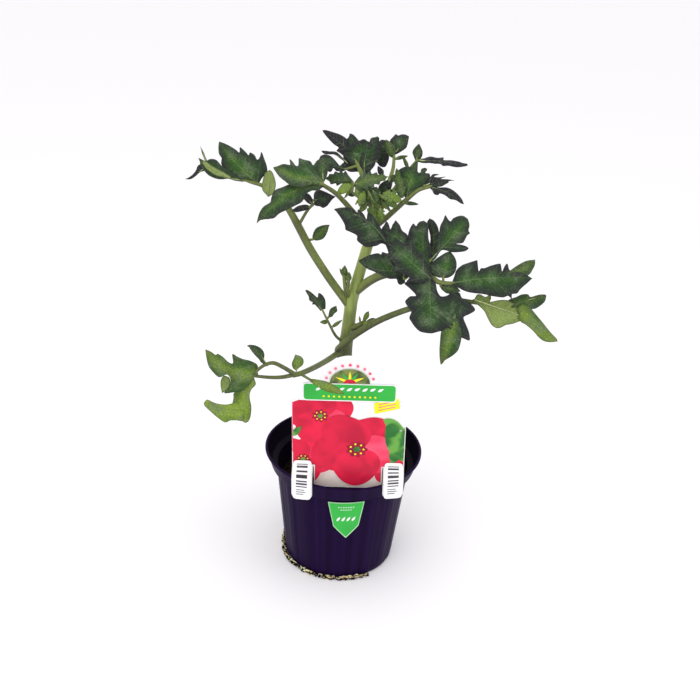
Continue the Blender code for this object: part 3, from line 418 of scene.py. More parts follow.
            33, 53, 45, 57, 56, 57, 54, 37, 59, 32, 66, 37, 73, 38, 70, 25, 83, 17, 93, 6), (20, 6,
            41, 18, 60, 22, 74, 18, 85, 14, 93, 8, 98, 4), face=UPWARD, bow=-0.13),
        leaflet((-19, -18, 256), (-20, -11, 268), 0.3, (26, 17, 62, 21, 89, 10), (23, 23, 58, 26,
            85, 18), face=UPWARD),
    ]),
    "leaf_right_upper": ([
        Stalk(((11, 1, 225), (17, -2, 232), (22, -4, 238), (28, -6, 245), (34, -7, 251),
            (41, -8, 254)), 1.6, 0.9),
    ], [
        leaflet((28, -7, 246), (33, 0, 266), 0.3, (14, 11, 27, 27, 36, 41, 50, 47, 65, 45, 76, 40,
            75, 29, 84, 31, 87, 24, 81, 16, 73, 17, 72, 10, 86, 5), (11, 20, 26, 29, 43, 35,
            58, 40, 69, 34, 77, 23, 80, 11, 93, 5), face=UPWARD, bow=-0.03),
        leaflet((37, -8, 254), (53.3, -7, 257.9), 0.1, (27, 3, 53, 8, 76, 6), (24, 20, 36, 27,
            55, 21, 37, 18, 53, 12, 75, 12, 59, 6, 81, 3), purple=0.5, bow=-0.06),
        leaflet((40, -8, 254), (59.9, -12, 246.1), 0.15, (10, 8, 20, 16, 30, 15, 32, 10, 46, 9,
            61, 11, 76, 5, 91, 4), (20, 4, 39, 11, 55, 13, 73, 12, 88, 8), purple=0.3, bow=-0.04),
        leaflet((26, -6, 243), (35, -7, 243), 0.3, "slim"),
        leaflet((38.6, -8, 254), (50.7, -8, 256.9), 0.25, (30, 9, 61, 13, 80, 7), (29, 16, 65, 12,
            91, 7), purple=0.2, bow=0.02, stalked=False),
    ]),
    "leaf_top_left": ([
        Stalk(((12, 3, 231), (8, 5, 241), (4, 9, 249), (1, 14, 255), (-3, 19, 260), (-7, 23, 264)),
            1.6, 0.9),
    ], [
        leaflet((-6, 22, 264), (-22, 27, 273.7), 0.1, (24, 21, 40, 23, 57, 20, 78, 13, 92, 7),
            (-1, 21, 17, 23, 29, 24, 30, 13, 45, 14, 64, 12, 86, 7), purple=0.55),
        leaflet((1, 15, 255), (-6.3, 30, 271.6), 0.18, (1, 15, 14, 27, 32, 25, 49, 21, 61, 17,
            72, 16, 84, 11, 95, 6), (12, 17, 27, 27, 45, 34, 62, 34, 77, 24, 87, 15, 91, 7),
            face=UPWARD, bow=0.04),
        leaflet((4, 12, 252), (10, 28, 271.8), 0.12, (29, 23, 41, 25, 48, 33, 62, 30, 77, 25,
            88, 13, 96, 7), (15, 10, 44, 10, 68, 18, 82, 27, 87, 20, 81, 7, 93, 10), face=UPWARD,
            bow=-0.12),
        leaflet((-7.2, 13, 255.3), (-21.8, 13, 262.7), 0.15, (10, 26, 19, 23, 25, 7, 38, 15,
            54, 26, 69, 30, 87, 21), (9, 15, 28, 22, 42, 16, 44, 34, 63, 37, 89, 36, 99, 23),
            purple=0.1, face=UPWARD, bow=-0.11),
        leaflet((10, 24, 257.4), (16.3, 30, 268.7), 0.12, (-7, 22, 1, 42, 26, 43, 45, 37, 57, 23,
            68, 35, 87, 24), (35, 24, 70, 30, 91, 31, 99, 16), purple=0.1, face=UPWARD,
            stalked=False),
        leaflet((-6.2, 17, 257.8), (-21.6, 13, 265.4), 0.05, (19, 10, 44, 13, 72, 2, 89, 1),
            (26, 2, 50, 1, 71, 7, 88, 9), purple=0.6, face=UPWARD, bow=0.07, stalked=False),
        leaflet((-0.2, 20, 252), (1.1, 23, 270.1), 0.15, (6, 25, 24, 38, 50, 48, 75, 48, 97, 26),
            (-3, 25, 5, 42, 31, 50, 62, 52, 90, 30), stalked=False),
        leaflet((14.2, 9, 253.5), (11, 9, 259.2), 0.1, "plain", purple=0.4),
    ]),
    "leaf_top": ([
        Stalk(((13, 3, 237), (16, 7, 244), (18, 11, 250), (20, 16, 257), (20, 21, 265)), 1.4, 0.8),
    ], [
        leaflet((20, 20, 264), (28.3, 26, 272.9), 0.25, (17, 13, 36, 19, 56, 22, 74, 15, 86, 8),
            (3, 14, 15, 33, 32, 50, 52, 51, 71, 50, 72, 39, 87, 30, 98, 16), purple=0.1),
        leaflet((20, 19, 261), (28, 17, 264), 0.4, "slim"),
        leaflet((20, 19, 262), (15, 20, 272), 0.4, "plain"),
        leaflet((18, 11, 250), (23, 9, 255), 0.4, "plain"),
    ]),
    "leaf_top_right": ([
        Stalk(((12, 3, 231), (17, 7, 240), (23, 11, 248), (29, 15, 256), (34, 18, 262)), 1.4, 0.8),
    ], [
        leaflet((33, 18, 261), (34, 21, 270.4), 0.35, (23, 27, 55, 29, 82, 14), (19, 16, 46, 30,
            74, 20), purple=0.1),
        leaflet((34, 18, 262), (63.4, 20, 260.3), 0.1, (11, 5, 21, 5, 31, 7, 43, 8, 49, 12, 60, 8,
            76, 7, 91, 4), (12, 8, 20, 14, 27, 16, 39, 13, 51, 15, 51, 8, 67, 9, 81, 8, 89, 4),
            purple=0.6, face=UPWARD, arch=0.03, bow=0.04),
        leaflet((29, 15, 256), (25, 16, 264), 0.4, "slim"),
    ]),
    "shoot_tip": ([
        Stalk(((12, 2, 230), (9, -4, 238), (3, -8, 244), (-3, -9, 248)), 1, 0.55),
        Stalk(((9, -4, 237), (13, -7, 244), (15, -9, 249)), 1, 0.8),
    ], [
        leaflet((-2.9, -6, 253.4), (-19, -3, 253.6), 0.3, (15, 20, 27, 33, 33, 25, 44, 32, 49, 23,
            64, 26, 68, 17, 82, 16, 86, 8), (12, 7, 31, 17, 36, 12, 52, 22, 57, 14, 74, 19,
            80, 10), face=(0, -1, 0.15), bow=0.03),
        leaflet((-2.3, -9, 252.8), (16.8, -10, 258.7), 0.42, (6, 12, 20, 27, 24, 19, 38, 27,
            42, 18, 56, 24, 60, 15, 72, 19, 77, 11, 89, 10, 93, 5), (6, 10, 22, 21, 25, 15, 38, 28,
            42, 19, 54, 27, 57, 16, 70, 18, 74, 10, 86, 11, 91, 5), arch=0.12),
        leaflet((-2.9, -6, 252.2), (-11.8, -8, 246.3), 0.75, "plain", face=(0, -0.8, 0.6),
            arch=0.14, stalked=False),
        leaflet((-3.1, -5, 250.8), (-7.2, -7, 243.6), 0.7, "slim", face=(0.5, -0.8, 0.3),
            arch=0.14, stalked=False),
        leaflet((-0.6, 2, 244.2), (-5.7, 0, 244.2), 0.2, "plain", face=(0, -0.9, 0.4), arch=0.02,
            stalked=False),
        leaflet((12.3, -6, 246.2), (16.7, -8, 256.2), 0.15, "plain", arch=-0.08, stalked=False),
        leaflet((17.2, -6, 248.7), (19.1, -8, 257.5), 0.12, "slim", arch=0.08, stalked=False),
        leaflet((5.4, 1, 238.9), (9.5, -1, 246.8), 0.3, "lobed", arch=0.02, stalked=False),
        leaflet((13.4, 0, 238.5), (15.1, -2, 246.8), 0.35, "lobed", arch=0.08, stalked=False),
        leaflet((7.5, 1, 241.4), (2.6, -1, 248.8), 0.3, "plain", arch=0.02, stalked=False),
        leaflet((15.7, 1, 238.3), (21, -1, 243.9), 0.35, "plain", arch=0.14, stalked=False),
        leaflet((-0.8, -9.3, 251.6), (4.7, -11.3, 243.3), 0.76, "plain", face=(-0.02, -0.85, 0.25),
            arch=0.02, stalked=False),
        leaflet((3.8, -11.1, 250.1), (1.5, -13.1, 241.4), 0.64, "plain", face=(0.16, -0.85, 0.34),
            arch=0.02, stalked=False),
        leaflet((6, -11.4, 250.3), (10.8, -13.4, 243.1), 0.45, "toothed",
            face=(-0.25, -0.85, 0.47), arch=0.08, stalked=False),
        leaflet((8.7, -11.2, 251), (11.9, -13.2, 244.3), 0.36, "plain", face=(0.19, -0.85, 0.68),
            arch=0.14, stalked=False),
        leaflet((12.7, -8.6, 249.3), (8.1, -10.6, 241.5), 0.48, "plain", face=(0.32, -0.85, 0.42),
            arch=0.08, stalked=False),
        leaflet((12.2, -10.5, 248.7), (19.1, -12.5, 245.1), 0.56, "toothed",
            face=(0.33, -0.85, 0.64), arch=0.08, stalked=False),
        leaflet((14.4, -10.3, 249.3), (25.1, -12.3, 245.9), 0.6, "lobed", face=(0.31, -0.85, 0.26),
            arch=0.02, stalked=False),
        leaflet((16.1, -11.7, 247.5), (23.2, -13.7, 242.2), 0.45, "plain",
            face=(0.07, -0.85, 0.52), arch=-0.08, stalked=False),
        leaflet((13.5, -9.6, 245), (19.5, -11.6, 239), 0.48, "toothed", face=(0.14, -0.85, 0.21),
            arch=0.14, stalked=False),
        leaflet((10.3, -8.3, 243.3), (15.7, -10.3, 236.6), 0.64, "toothed",
            face=(0.33, -0.85, 0.11), arch=-0.08, stalked=False),
        leaflet((9.2, -12, 242.6), (7.9, -14, 236.2), 0.45, "plain", face=(-0.09, -0.85, 0.45),
            arch=0.08, stalked=False),
        leaflet((5.8, -7.9, 242.3), (1.7, -9.9, 236.9), 0.51, "plain", face=(-0.27, -0.85, 0.25),
            arch=0.14, stalked=False),
        leaflet((6.5, -9.7, 240), (12.6, -11.7, 233.4), 0.76, "plain", face=(0.27, -0.85, 0.25),
            arch=0.14, stalked=False),
        leaflet((13.2, -11.5, 240.9), (14.8, -13.5, 232.9), 0.56, "lobed",
            face=(-0.32, -0.85, 0.67), arch=0.14, stalked=False),
        leaflet((2.3, -7.4, 245.4), (-0.8, -9.4, 241.2), 0.85, "toothed", face=(0.29, -0.85, 0.3),
            arch=0.14, stalked=False),
        leaflet((18, -8, 245.3), (21.6, -10, 249.6), 0.36, "plain", face=(0.13, -0.85, 0.28),
            arch=-0.08, stalked=False),
        leaflet((8, -7.1, 244.5), (2.8, -9.1, 246.6), 0.76, "toothed", face=(-0.24, -0.85, 0.13),
            arch=0.02, stalked=False),
        leaflet((25.2, -8, 246.3), (21.1, -5, 262.4), 0.42, "toothed", stalked=False),
        leaflet((19.1, -8, 245.4), (15.8, -6, 253.3), 0.3, "plain", stalked=False),
        leaflet((-1.6, -8, 247.4), (13.4, -8.6, 250.6), 0.34, (8, 10, 24, 24, 28, 15, 44, 25,
            48, 15, 64, 21, 68, 12, 84, 13, 89, 6), face=(0.1, -0.85, 0.35), arch=0.1,
            stalked=False),
    ]),
    "axil_shoot_left": ([
        Stalk(((-2, 0, 151), (-8, -4, 157), (-13, -8, 168), (-17, -10, 177)), 0.9, 0.6),
    ], [
        leaflet((-17, -10, 176), (-26.9, -12, 189.3), 0.3, (-5, 14, 9, 24, 23, 30, 40, 32, 55, 29,
            59, 23, 50, 13, 63, 10, 82, 8, 94, 5), (16, 7, 36, 11, 42, 18, 47, 12, 62, 16, 73, 9,
            90, 5), purple=0.1, bow=0.04),
        leaflet((-13, -8, 171), (-8.8, -9, 179), 0.35, (19, 18, 46, 19, 73, 25, 89, 13), (22, 11,
            50, 20, 75, 16)),
        leaflet((-11, -7, 164), (-5, -9, 170), 0.5, "slim"),
        leaflet((-13, -8, 168), (-18, -9, 168), 0.5, "plain"),
    ]),
    "axil_shoots_mid": ([
        Stalk(((-1, 0, 181), (-3.4, -5, 187.2), (-4.4, -6, 192.6), (-5.2, -6, 197.6)), 1.4, 1),
        Stalk(((-3.4, -5, 186.5), (-2.4, -6, 191.4), (-2.2, -7, 195)), 1.2, 0.9),
    ], [
        leaflet((-5.1, -6, 196.3), (-4.8, -7, 203.9), 0.45, "plain", stalked=False),
        leaflet((-5.3, -6, 196.3), (-7.6, -7, 201.9), 0.5, "slim", stalked=False),
        leaflet((-2.4, -7, 193.7), (-2.2, -8, 200.4), 0.5, "plain", stalked=False),
    ]),
    "axil_bud_right": ([
        Stalk(((-0.9, 0, 161), (3.6, -4, 164), (7.6, -7, 168)), 2.2, 1.5),
    ], [
        leaflet((7.4, -7, 168), (10.6, -9, 176.4), 0.6, (25, 10, 60, 17, 85, 12), purple=0.05,
            stalked=False),
        leaflet((8.2, -7, 167.8), (16.2, -9, 171.8), 0.5, (20, 12, 60, 20, 85, 12), purple=0.05,
            stalked=False),
        leaflet((6.2, -6, 167), (11.4, -9, 169.4), 0.9, "plain", stalked=False),
        leaflet((6, -6, 167.4), (5.4, -8, 172.4), 0.9, "slim", stalked=False),
    ]),
}


# --- Small helpers ----------------------------------------------------------------------------
def feed(node, inputs):
    """Give inputs their values, or link them to a socket or to a node's first output.

    Values without names go to the first inputs in turn, and a colour needs no alpha."""
    if not isinstance(inputs, dict):
        inputs = dict(enumerate(inputs))
    for name, value in inputs.items():
        socket = node.inputs[name]
        if isinstance(value, bpy.types.Node):
            value = value.outputs[0]
        if isinstance(value, bpy.types.NodeSocket):
            node.id_data.links.new(value, socket)
        else:
            socket.default_value = (*value, 1) if socket.type == "RGBA" else value


def add_node(material, kind, inputs=(), **settings):
    """A shader node with its inputs and settings.

    Map Range takes a value, the range it comes from and the range it goes to. A colour Mix takes
    its share at 0 and its colours at 6 and 7, and its output 2 is the mixed colour."""
    node = material.node_tree.nodes.new("ShaderNode" + kind)
    for name, value in settings.items():
        setattr(node, name, value)
    feed(node, inputs)
    return node


def new_material(name, roughness, **inputs):
    """A material with one Principled shader, that shader, and what adds nodes to it."""
    material = bpy.data.materials.new(name)
    material.use_nodes = True
    shader = material.node_tree.nodes["Principled BSDF"]
    feed(shader, {"Roughness": roughness})
    feed(shader, {socket.replace("_", " "): value for socket, value in inputs.items()})
    return material, shader, partial(add_node, material)


def polar(reach, angle, height=0.0):
    """The point at a distance from the Z axis, in a direction and at a height."""
    return Vector((reach * math.cos(angle), reach * math.sin(angle), height))


def add_piece(name, source, materials=(), smooth=True):
    """A piece made of a bmesh or mesh whose points are in millimetres."""
    mesh = source
    if isinstance(source, bmesh.types.BMesh):
        mesh = bpy.data.meshes.new(name)
        source.to_mesh(mesh)
        source.free()
    mesh.transform(Matrix.Scale(MM, 4))
    if smooth:
        mesh.shade_smooth()
    for material in materials:
        mesh.materials.append(material)
    piece = bpy.data.objects.new(name, mesh)
    bpy.context.scene.collection.objects.link(piece)
    return piece


def place_piece(piece, node):
    """Put a finished piece in the place of its solid."""
    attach(piece, "root")
    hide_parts(node)


def thicken(piece, depth, slots_on=0):
    """Give a sheet its depth behind its face; back and rim take the material so many slots on."""
    sheet = piece.modifiers.new("thickness", "SOLIDIFY")
    sheet.thickness = depth
    sheet.offset = -1
    sheet.material_offset = sheet.material_offset_rim = slots_on


def join(target, bm):
    """Move everything of one bmesh into another."""
    mesh = bpy.data.meshes.new("joined")
    bm.to_mesh(mesh)
    bm.free()
    target.from_mesh(mesh)
    bpy.data.meshes.remove(mesh)


def evaluated(piece):
    """The mesh of an object with its curve or modifiers worked out."""
    bpy.context.view_layer.update()
    graph = bpy.context.evaluated_depsgraph_get()
    return bpy.data.meshes.new_from_object(piece.evaluated_get(graph))


def smooth_route(points, per_span=4):
    """Points along a smooth curve through the given ones."""
    ways = [Vector(p) for p in points]
    ways = [ways[0] * 2 - ways[1], *ways, ways[-1] * 2 - ways[-2]]
    found = []
    for i in range(1, len(ways) - 2):
        a, b, c, d = ways[i - 1:i + 3]
        for k in range(per_span):
            t = k / per_span
            found.append(0.5 * (2 * b + (c - a) * t + (2 * a - 5 * b + 4 * c - d) * t**2
                                + (3 * b - a - 3 * c + d) * t**3))
    found.append(ways[-2])
    return found


def spread(values, count):
    """A list stretched evenly to count entries."""
    found = []
    for k in range(count):
        place = k / (count - 1) * (len(values) - 1)
        low = min(int(place), len(values) - 2)
        found.append(values[low] + (values[low + 1] - values[low]) * (place - low))
    return found


def tubes(name, runs, materials, sides=2):
    """Round strands, each given as points, radii and a material's index, as one mesh object."""
    curve = bpy.data.curves.new(name, "CURVE")
    curve.dimensions = "3D"
    curve.bevel_depth = 1
    curve.bevel_resolution = sides
    curve.use_fill_caps = True
    for material in materials:
        curve.materials.append(material)
    for points, radii, index in runs:
        spline = curve.splines.new("POLY")
        spline.points.add(len(points) - 1)
        spline.material_index = index
        spline.use_smooth = True
        for point, place, radius in zip(spline.points, points, radii):
            point.co = (*place, 1)
            point.radius = radius
    guide = bpy.data.objects.new(name + "_guide", curve)
    bpy.context.scene.collection.objects.link(guide)
    mesh = evaluated(guide)
    bpy.data.objects.remove(guide)
    bm = bmesh.new()
    bm.from_mesh(mesh)
    bmesh.ops.remove_doubles(bm, verts=bm.verts, dist=WELD)
    bmesh.ops.recalc_face_normals(bm, faces=bm.faces)
    # Painted shade: each point keeps how far its surface faces down, and the stalk skin darkens it
    # by that much.
    under = bm.verts.layers.float.new("under")
    for vert in bm.verts:
        vert[under] = -vert.normal.z
    bm.to_mesh(mesh)
    bm.free()
    return add_piece(name, mesh)


# --- Pot --------------------------------------------------------------------------------------
def wall_radius(pot, height):
    """The outer radius of the pot's wall below the collar, in millimetres."""
    top = pot.height / MM - COLLAR_HEIGHT - STEP_HEIGHT
    foot = pot.base_radius / MM
    return foot + (WALL_TOP_RADIUS - foot) * height / top


def in_order(bm):
    """Sort points and faces by their place, so that they are listed alike in every run."""
    for items, place in ((bm.verts, lambda vert: vert.co[:]),
                         (bm.faces, lambda face: face.calc_center_median()[:])):
        order = {item: k for k, item in enumerate(sorted(items, key=place))}
        items.sort(key=order.get)


def spun(profile, steps):
    """A closed body turned round Z from a profile whose first and last points lie on the axis."""
    bm = bmesh.new()
    verts = [bm.verts.new((r, 0, z)) for r, z in profile]
    for pair in zip(verts, verts[1:]):
        bm.edges.new(pair)
    bmesh.ops.spin(bm, geom=bm.verts[:] + bm.edges[:], cent=(0, 0, 0), axis=(0, 0, 1),
                   angle=math.tau, steps=steps, use_merge=True)
    bmesh.ops.remove_doubles(bm, verts=bm.verts, dist=WELD)
    bmesh.ops.recalc_face_normals(bm, faces=bm.faces)
    in_order(bm)
    return bm


def plastic_material(pot):
    """Polypropylene with carbon black and violet pigment, thermoformed from thin sheet.

    The sheet keeps a satin skin with a faint orange peel, and shows fine upright draw lines. It
    reads nearly black, with a violet sheen where the light grazes it."""
    material, shader, add = new_material("thermoformed polypropylene", 0.4,
                                         Specular_IOR_Level=0.03)
    where = add("TexCoord").outputs["Object"]
    parts = add("SeparateXYZ", (where,))
    turn = add("Math", (parts.outputs["Y"], parts.outputs["X"]), operation="ARCTAN2")
    # Draw lines 0.9 mm apart, drawn a little coarser than the real 0.5 mm ones.
    draw = add("CombineXYZ", (turn,))
    lines = add("TexNoise", {"Vector": draw, "Scale": 55.0, "Detail": 2.0})
    peel = add("TexNoise", {"Vector": where, "Scale": 700.0, "Detail": 2.0})
    both = add("Math", (lines, peel), operation="ADD")
    bump = add("Bump", {"Height": both, "Strength": 0.35, "Distance": 0.00012})
    wide = add("TexNoise", {"Vector": draw, "Scale": 9.0, "Detail": 1.0})
    share = add("MapRange", (wide, 0.4, 0.66))
    base = Vector(pot.plastic)
    tint = add("Mix", {0: share, 6: base * 0.88, 7: base * 1.34}, **MIX)
    feed(shader, {"Base Color": tint.outputs[2], "Normal": bump})
    return material


def pot_profile(pot):
    """The pot's section, from the middle of its underside round the lip to the middle inside."""
    top = pot.height / MM
    rim = pot.rim_radius / MM
    foot = pot.base_radius / MM
    wall = pot.wall / MM
    step_top = top - COLLAR_HEIGHT
    step_foot = step_top - STEP_HEIGHT
    lip_foot = top - LIP_HEIGHT
    rounding = wall_radius(pot, BASE_ROUND)
    inside = rim - LIP_WIDTH
    collar = COLLAR_FOOT_RADIUS
    rise = (step_foot - BASE_ROUND) / WALL_ROWS
    outer = [BASE_ROUND + rise * k for k in range(1, WALL_ROWS + 1)]
    return [
        # The underside stands on a narrow ring; its edge is rounded.
        (0, FOOT_HOLLOW), (foot - 7, FOOT_HOLLOW), (foot - 6, 0), (foot - BASE_ROUND, 0),
        (foot - BASE_ROUND * 0.45, BASE_ROUND * 0.12),
        (foot - BASE_ROUND * 0.12, BASE_ROUND * 0.5),
        (rounding, BASE_ROUND), *((wall_radius(pot, z), z) for z in outer),
        # The step and the collar
        (collar - 1.2, step_foot + 0.15), (collar - 0.3, step_top - 1.1), (collar, step_top - 0.4),
        (collar + 0.1, step_top), (COLLAR_TOP_RADIUS - 0.4, lip_foot - 0.9),
        (COLLAR_TOP_RADIUS - 0.1, lip_foot - 0.2),
        # The rolled lip
        (rim - 0.3, lip_foot + 0.1), (rim, lip_foot + 0.6), (rim, top - 0.6),
        (rim - 0.2, top - 0.15),
        (rim - 0.6, top), (inside + 0.3, top), (inside, top - 0.3), (inside - 0.2, lip_foot - 0.6),
        # Down the inside
        (collar - wall, step_top), (wall_radius(pot, step_foot) - wall, step_foot - 0.3),
        *((wall_radius(pot, z) - wall, z) for z in (step_foot * k / 6 for k in (5, 4, 3, 2, 1))),
        (rounding - wall, BASE_ROUND + 0.4), (foot - BASE_ROUND, BASE_WALL), (0, BASE_WALL),
    ]


def drill(piece):
    """Cut the drain holes through the base, and give the mesh that is left."""
    bm = bmesh.new()
    for k in range(DRAIN_HOLES):
        spot = Matrix.Translation(polar(DRAIN_RING, math.tau * (k + 0.5) / DRAIN_HOLES))
        bmesh.ops.create_cone(bm, cap_ends=True, segments=32, radius1=DRAIN_RADIUS,
                              radius2=DRAIN_RADIUS, depth=BASE_WALL * 4, matrix=spot)
    drills = add_piece("drain_drills", bm, smooth=False)
    drilled = piece.modifiers.new("drain holes", "BOOLEAN")
    drilled.operation = "DIFFERENCE"
    drilled.object = drills
    mesh = evaluated(piece)
    piece.modifiers.clear()
    bpy.data.objects.remove(drills)
    return mesh


def build_pot(pot):
    """The spun pot: a flared, fluted wall, a step, a collar and a rolled lip, with drain holes."""
    top = pot.height / MM
    foot = pot.base_radius / MM
    step_foot = top - COLLAR_HEIGHT - STEP_HEIGHT
    bm = spun(pot_profile(pot), SPIN_STEPS)
    for vert in bm.verts:
        reach = math.hypot(vert.co.x, vert.co.y)
        angle = math.atan2(vert.co.y, vert.co.x)
        if 0 < vert.co.z < step_foot - 0.05 and reach > foot - BASE_ROUND * 0.5:
            # Every other panel is pressed in, less so toward its ends.
            wave = max(-1, min(1, FLUTE_CREASE * math.cos(angle * FLUTES)))
            pressed = (0.5 - 0.5 * wave) * pot.flute_depth / MM
            pressed *= min(1, vert.co.z / 4) * min(1, (step_foot - vert.co.z) / 3)
            vert.co.xy *= 1 - pressed / reach
        if vert.co.z > step_foot:
            # The thin rim is never quite round or level.
            share = (vert.co.z - step_foot) / (top - step_foot)
            vert.co.z += RIM_WAVE * math.sin(2 * angle + 0.6) * share - RIM_SAG
    piece = add_piece("nursery_pot", bm)
    mesh = piece.data = drill(piece)
    mesh.set_sharp_from_angle(angle=CREASE_ANGLE)
    # Painted shade: the inside of the wall and the top of the base take a near-black material,
    # standing in for the deep shade inside the pot.
    inner, shader, _ = new_material("pot inside, painted shade", 0.5,
                                    Specular_IOR_Level=0.05)
    feed(shader, {"Base Color": linear("#0a0612")})
    mesh.materials.clear()
    for material in (plastic_material(pot), inner):
        mesh.materials.append(material)
    for face in mesh.polygons:
        inward = face.normal.xy.dot(face.center.xy) < 0 and face.center.z < (top - 0.5) * MM
        if inward or (face.normal.z > 0.9 and face.center.z < BASE_WALL * 2 * MM):
            face.material_index = 1
    place_piece(piece, "pot")


# --- Peat and roots ---------------------------------------------------------------------------
def peat_material(pot):
    """Milled sphagnum peat, watered and settled.

    Damp fibres and crumbs swallow the light: dull, nearly black brown, with paler dry specks."""
    material, shader, add = new_material("milled peat", 0.95, Specular_IOR_Level=0.08)
    where = add("TexCoord").outputs["Object"]
    crumbs = add("TexVoronoi", {"Vector": where, "Scale": 900.0})
    specks = add("TexNoise", {"Vector": where, "Scale": 420.0, "Detail": 6.0})
    share = add("MapRange", (specks, 0.42, 0.72))
    base = Vector(pot.peat)
    tint = add("Mix", {0: share, 6: base * 0.3, 7: base * 1.5}, **MIX)
    bump = add("Bump", {"Height": crumbs, "Strength": 0.9, "Distance": 0.0006})
    feed(shader, {"Base Color": tint.outputs[2], "Normal": bump})
    return material


def add_crumb(bm, spot, axis, turn, size):
    """Add a crumb of peat: an ellipsoid turned about one axis."""
    shape = Matrix.LocRotScale(spot, Matrix.Rotation(turn, 3, axis), Vector(size))
    bmesh.ops.create_icosphere(bm, subdivisions=1, radius=1, matrix=shape)


def lumps(spot):
    """How far the peat's surface rises at a spot."""
    return PEAT_LUMPS * noise.fractal(spot * 0.16, 1.0, 2.2, 5)


def build_peat(pot):
    """The peat that fills the pot: a lumpy top, heaped round the stem and strewn with crumbs."""
    level = pot.soil_height / MM
    clear = pot.wall / MM + pot.flute_depth / MM + GAP
    foot = pot.base_radius / MM - BASE_ROUND - 1
    reach = wall_radius(pot, level) - clear
    profile = [(0, BASE_WALL + GAP), (foot, BASE_WALL + GAP), (wall_radius(pot, 4) - clear, 4)]
    profile += [(reach * (1 - k / PEAT_RINGS), level) for k in range(PEAT_RINGS + 1)]
    bm = spun(profile, PEAT_STEPS)
    for vert in bm.verts:
        if vert.co.z > level - 0.1:
            vert.co.z += lumps(vert.co) + math.exp(-(vert.co.xy.length - HEAP_RADIUS)**2 / 8)
    rng = random.Random(PEAT_SEED)
    for _ in range(PEAT_CRUMBS):
        away = reach * 0.97 * math.sqrt(rng.random())
        angle = rng.uniform(0, math.tau)
        size = rng.uniform(0.3, 1.1)
        spot = polar(away, angle, level)
        spot.z += lumps(spot) + size * 0.3
        add_crumb(bm, spot, "X", angle * 5,
                  (size, size * rng.uniform(0.5, 1), size * rng.uniform(0.5, 1)))
    piece = add_piece("peat", bm, [peat_material(pot)])
    place_piece(piece, "soil")


def root_material(pot):
    """Young roots grown through the drain holes, washed and drying.

    Creamy, slightly waxy threads that let a little light in, browner where they have dried."""
    material, shader, add = new_material("root cortex", 0.7, Subsurface_Weight=0.15,
                                         Subsurface_Scale=0.0006)
    where = add("TexCoord").outputs["Object"]
    dry = add("TexNoise", {"Vector": where, "Scale": 180.0, "Detail": 3.0})
    share = add("MapRange", (dry, 0.5, 0.75))
    fresh = Vector(pot.root)
    dried = fresh * Vector((0.55, 0.4, 0.3))
    tint = add("Mix", {0: share, 6: fresh, 7: dried}, **MIX)
    feed(shader, {"Base Color": tint.outputs[2]})
    return material


def root_strand(rng, foot, sector, climb, clumps):
    """One strand's points and radii, along the foot of the wall."""
    angle = rng.choice(clumps) + rng.gauss(0, 0.03)
    turn = rng.uniform(0.03, 0.12) * rng.choice((-1, 1))
    low = rng.uniform(0.4, 1.4)
    rise = rng.uniform(0, 2.2)
    if angle < climb:
        rise = rng.uniform(1, CLIMB_HEIGHT)
    out = rng.uniform(0.2, 1.6)
    points = []
    for k in range(STRAND_POINTS):
        share = k / (STRAND_POINTS - 1)
        way = min(max(angle + turn * share, sector[0]), sector[1])
        height = low + rise * math.sin(share * math.pi * 0.8) + rng.uniform(-0.25, 0.25)
        height = max(height, LOWEST_STRAND)
        slope = (WALL_TOP_RADIUS - foot) * height / 70
        reach = foot + 0.5 + slope + out * math.sin(share * math.pi) + rng.uniform(-0.15, 0.25)
        points.append(polar(reach, way, height))
    points = smooth_route(points)
    thick = rng.uniform(0.18, 0.46)
    return points, spread((thick, thick * 0.9, thick * 0.45), len(points)), 0


def build_roots(pot):
    """Pale strands that hug the foot of the pot, with crumbs of peat caught among them."""
    rng = random.Random(ROOT_SEED)
    foot = pot.base_radius / MM
    sector = [math.radians(angle) for angle in ROOT_SECTOR]
    climb = math.radians(CLIMB_END)
    clumps = [math.radians(angle) for angle in ROOT_CLUMPS]
    runs = [root_strand(rng, foot, sector, climb, clumps) for _ in range(pot.strands)]
    place_piece(tubes("root_strands", runs, [root_material(pot)]), "foot_roots")
    bm = bmesh.new()
    for _ in range(FOOT_CRUMBS):
        angle = rng.uniform(*sector)
        height = rng.uniform(0.4, 2.4 if angle > climb else CLIMB_HEIGHT)
        away = foot + 0.4 + rng.uniform(0, 2.2)
        size = rng.uniform(0.35, 0.9)
        add_crumb(bm, polar(away, angle, max(height, size)), "Y", angle * 9,
                  (size, size * 0.7, size * 0.55))
    crumbs = add_piece("foot_crumbs", bm, [bpy.data.materials["milled peat"]])
    place_piece(crumbs, "foot_roots")


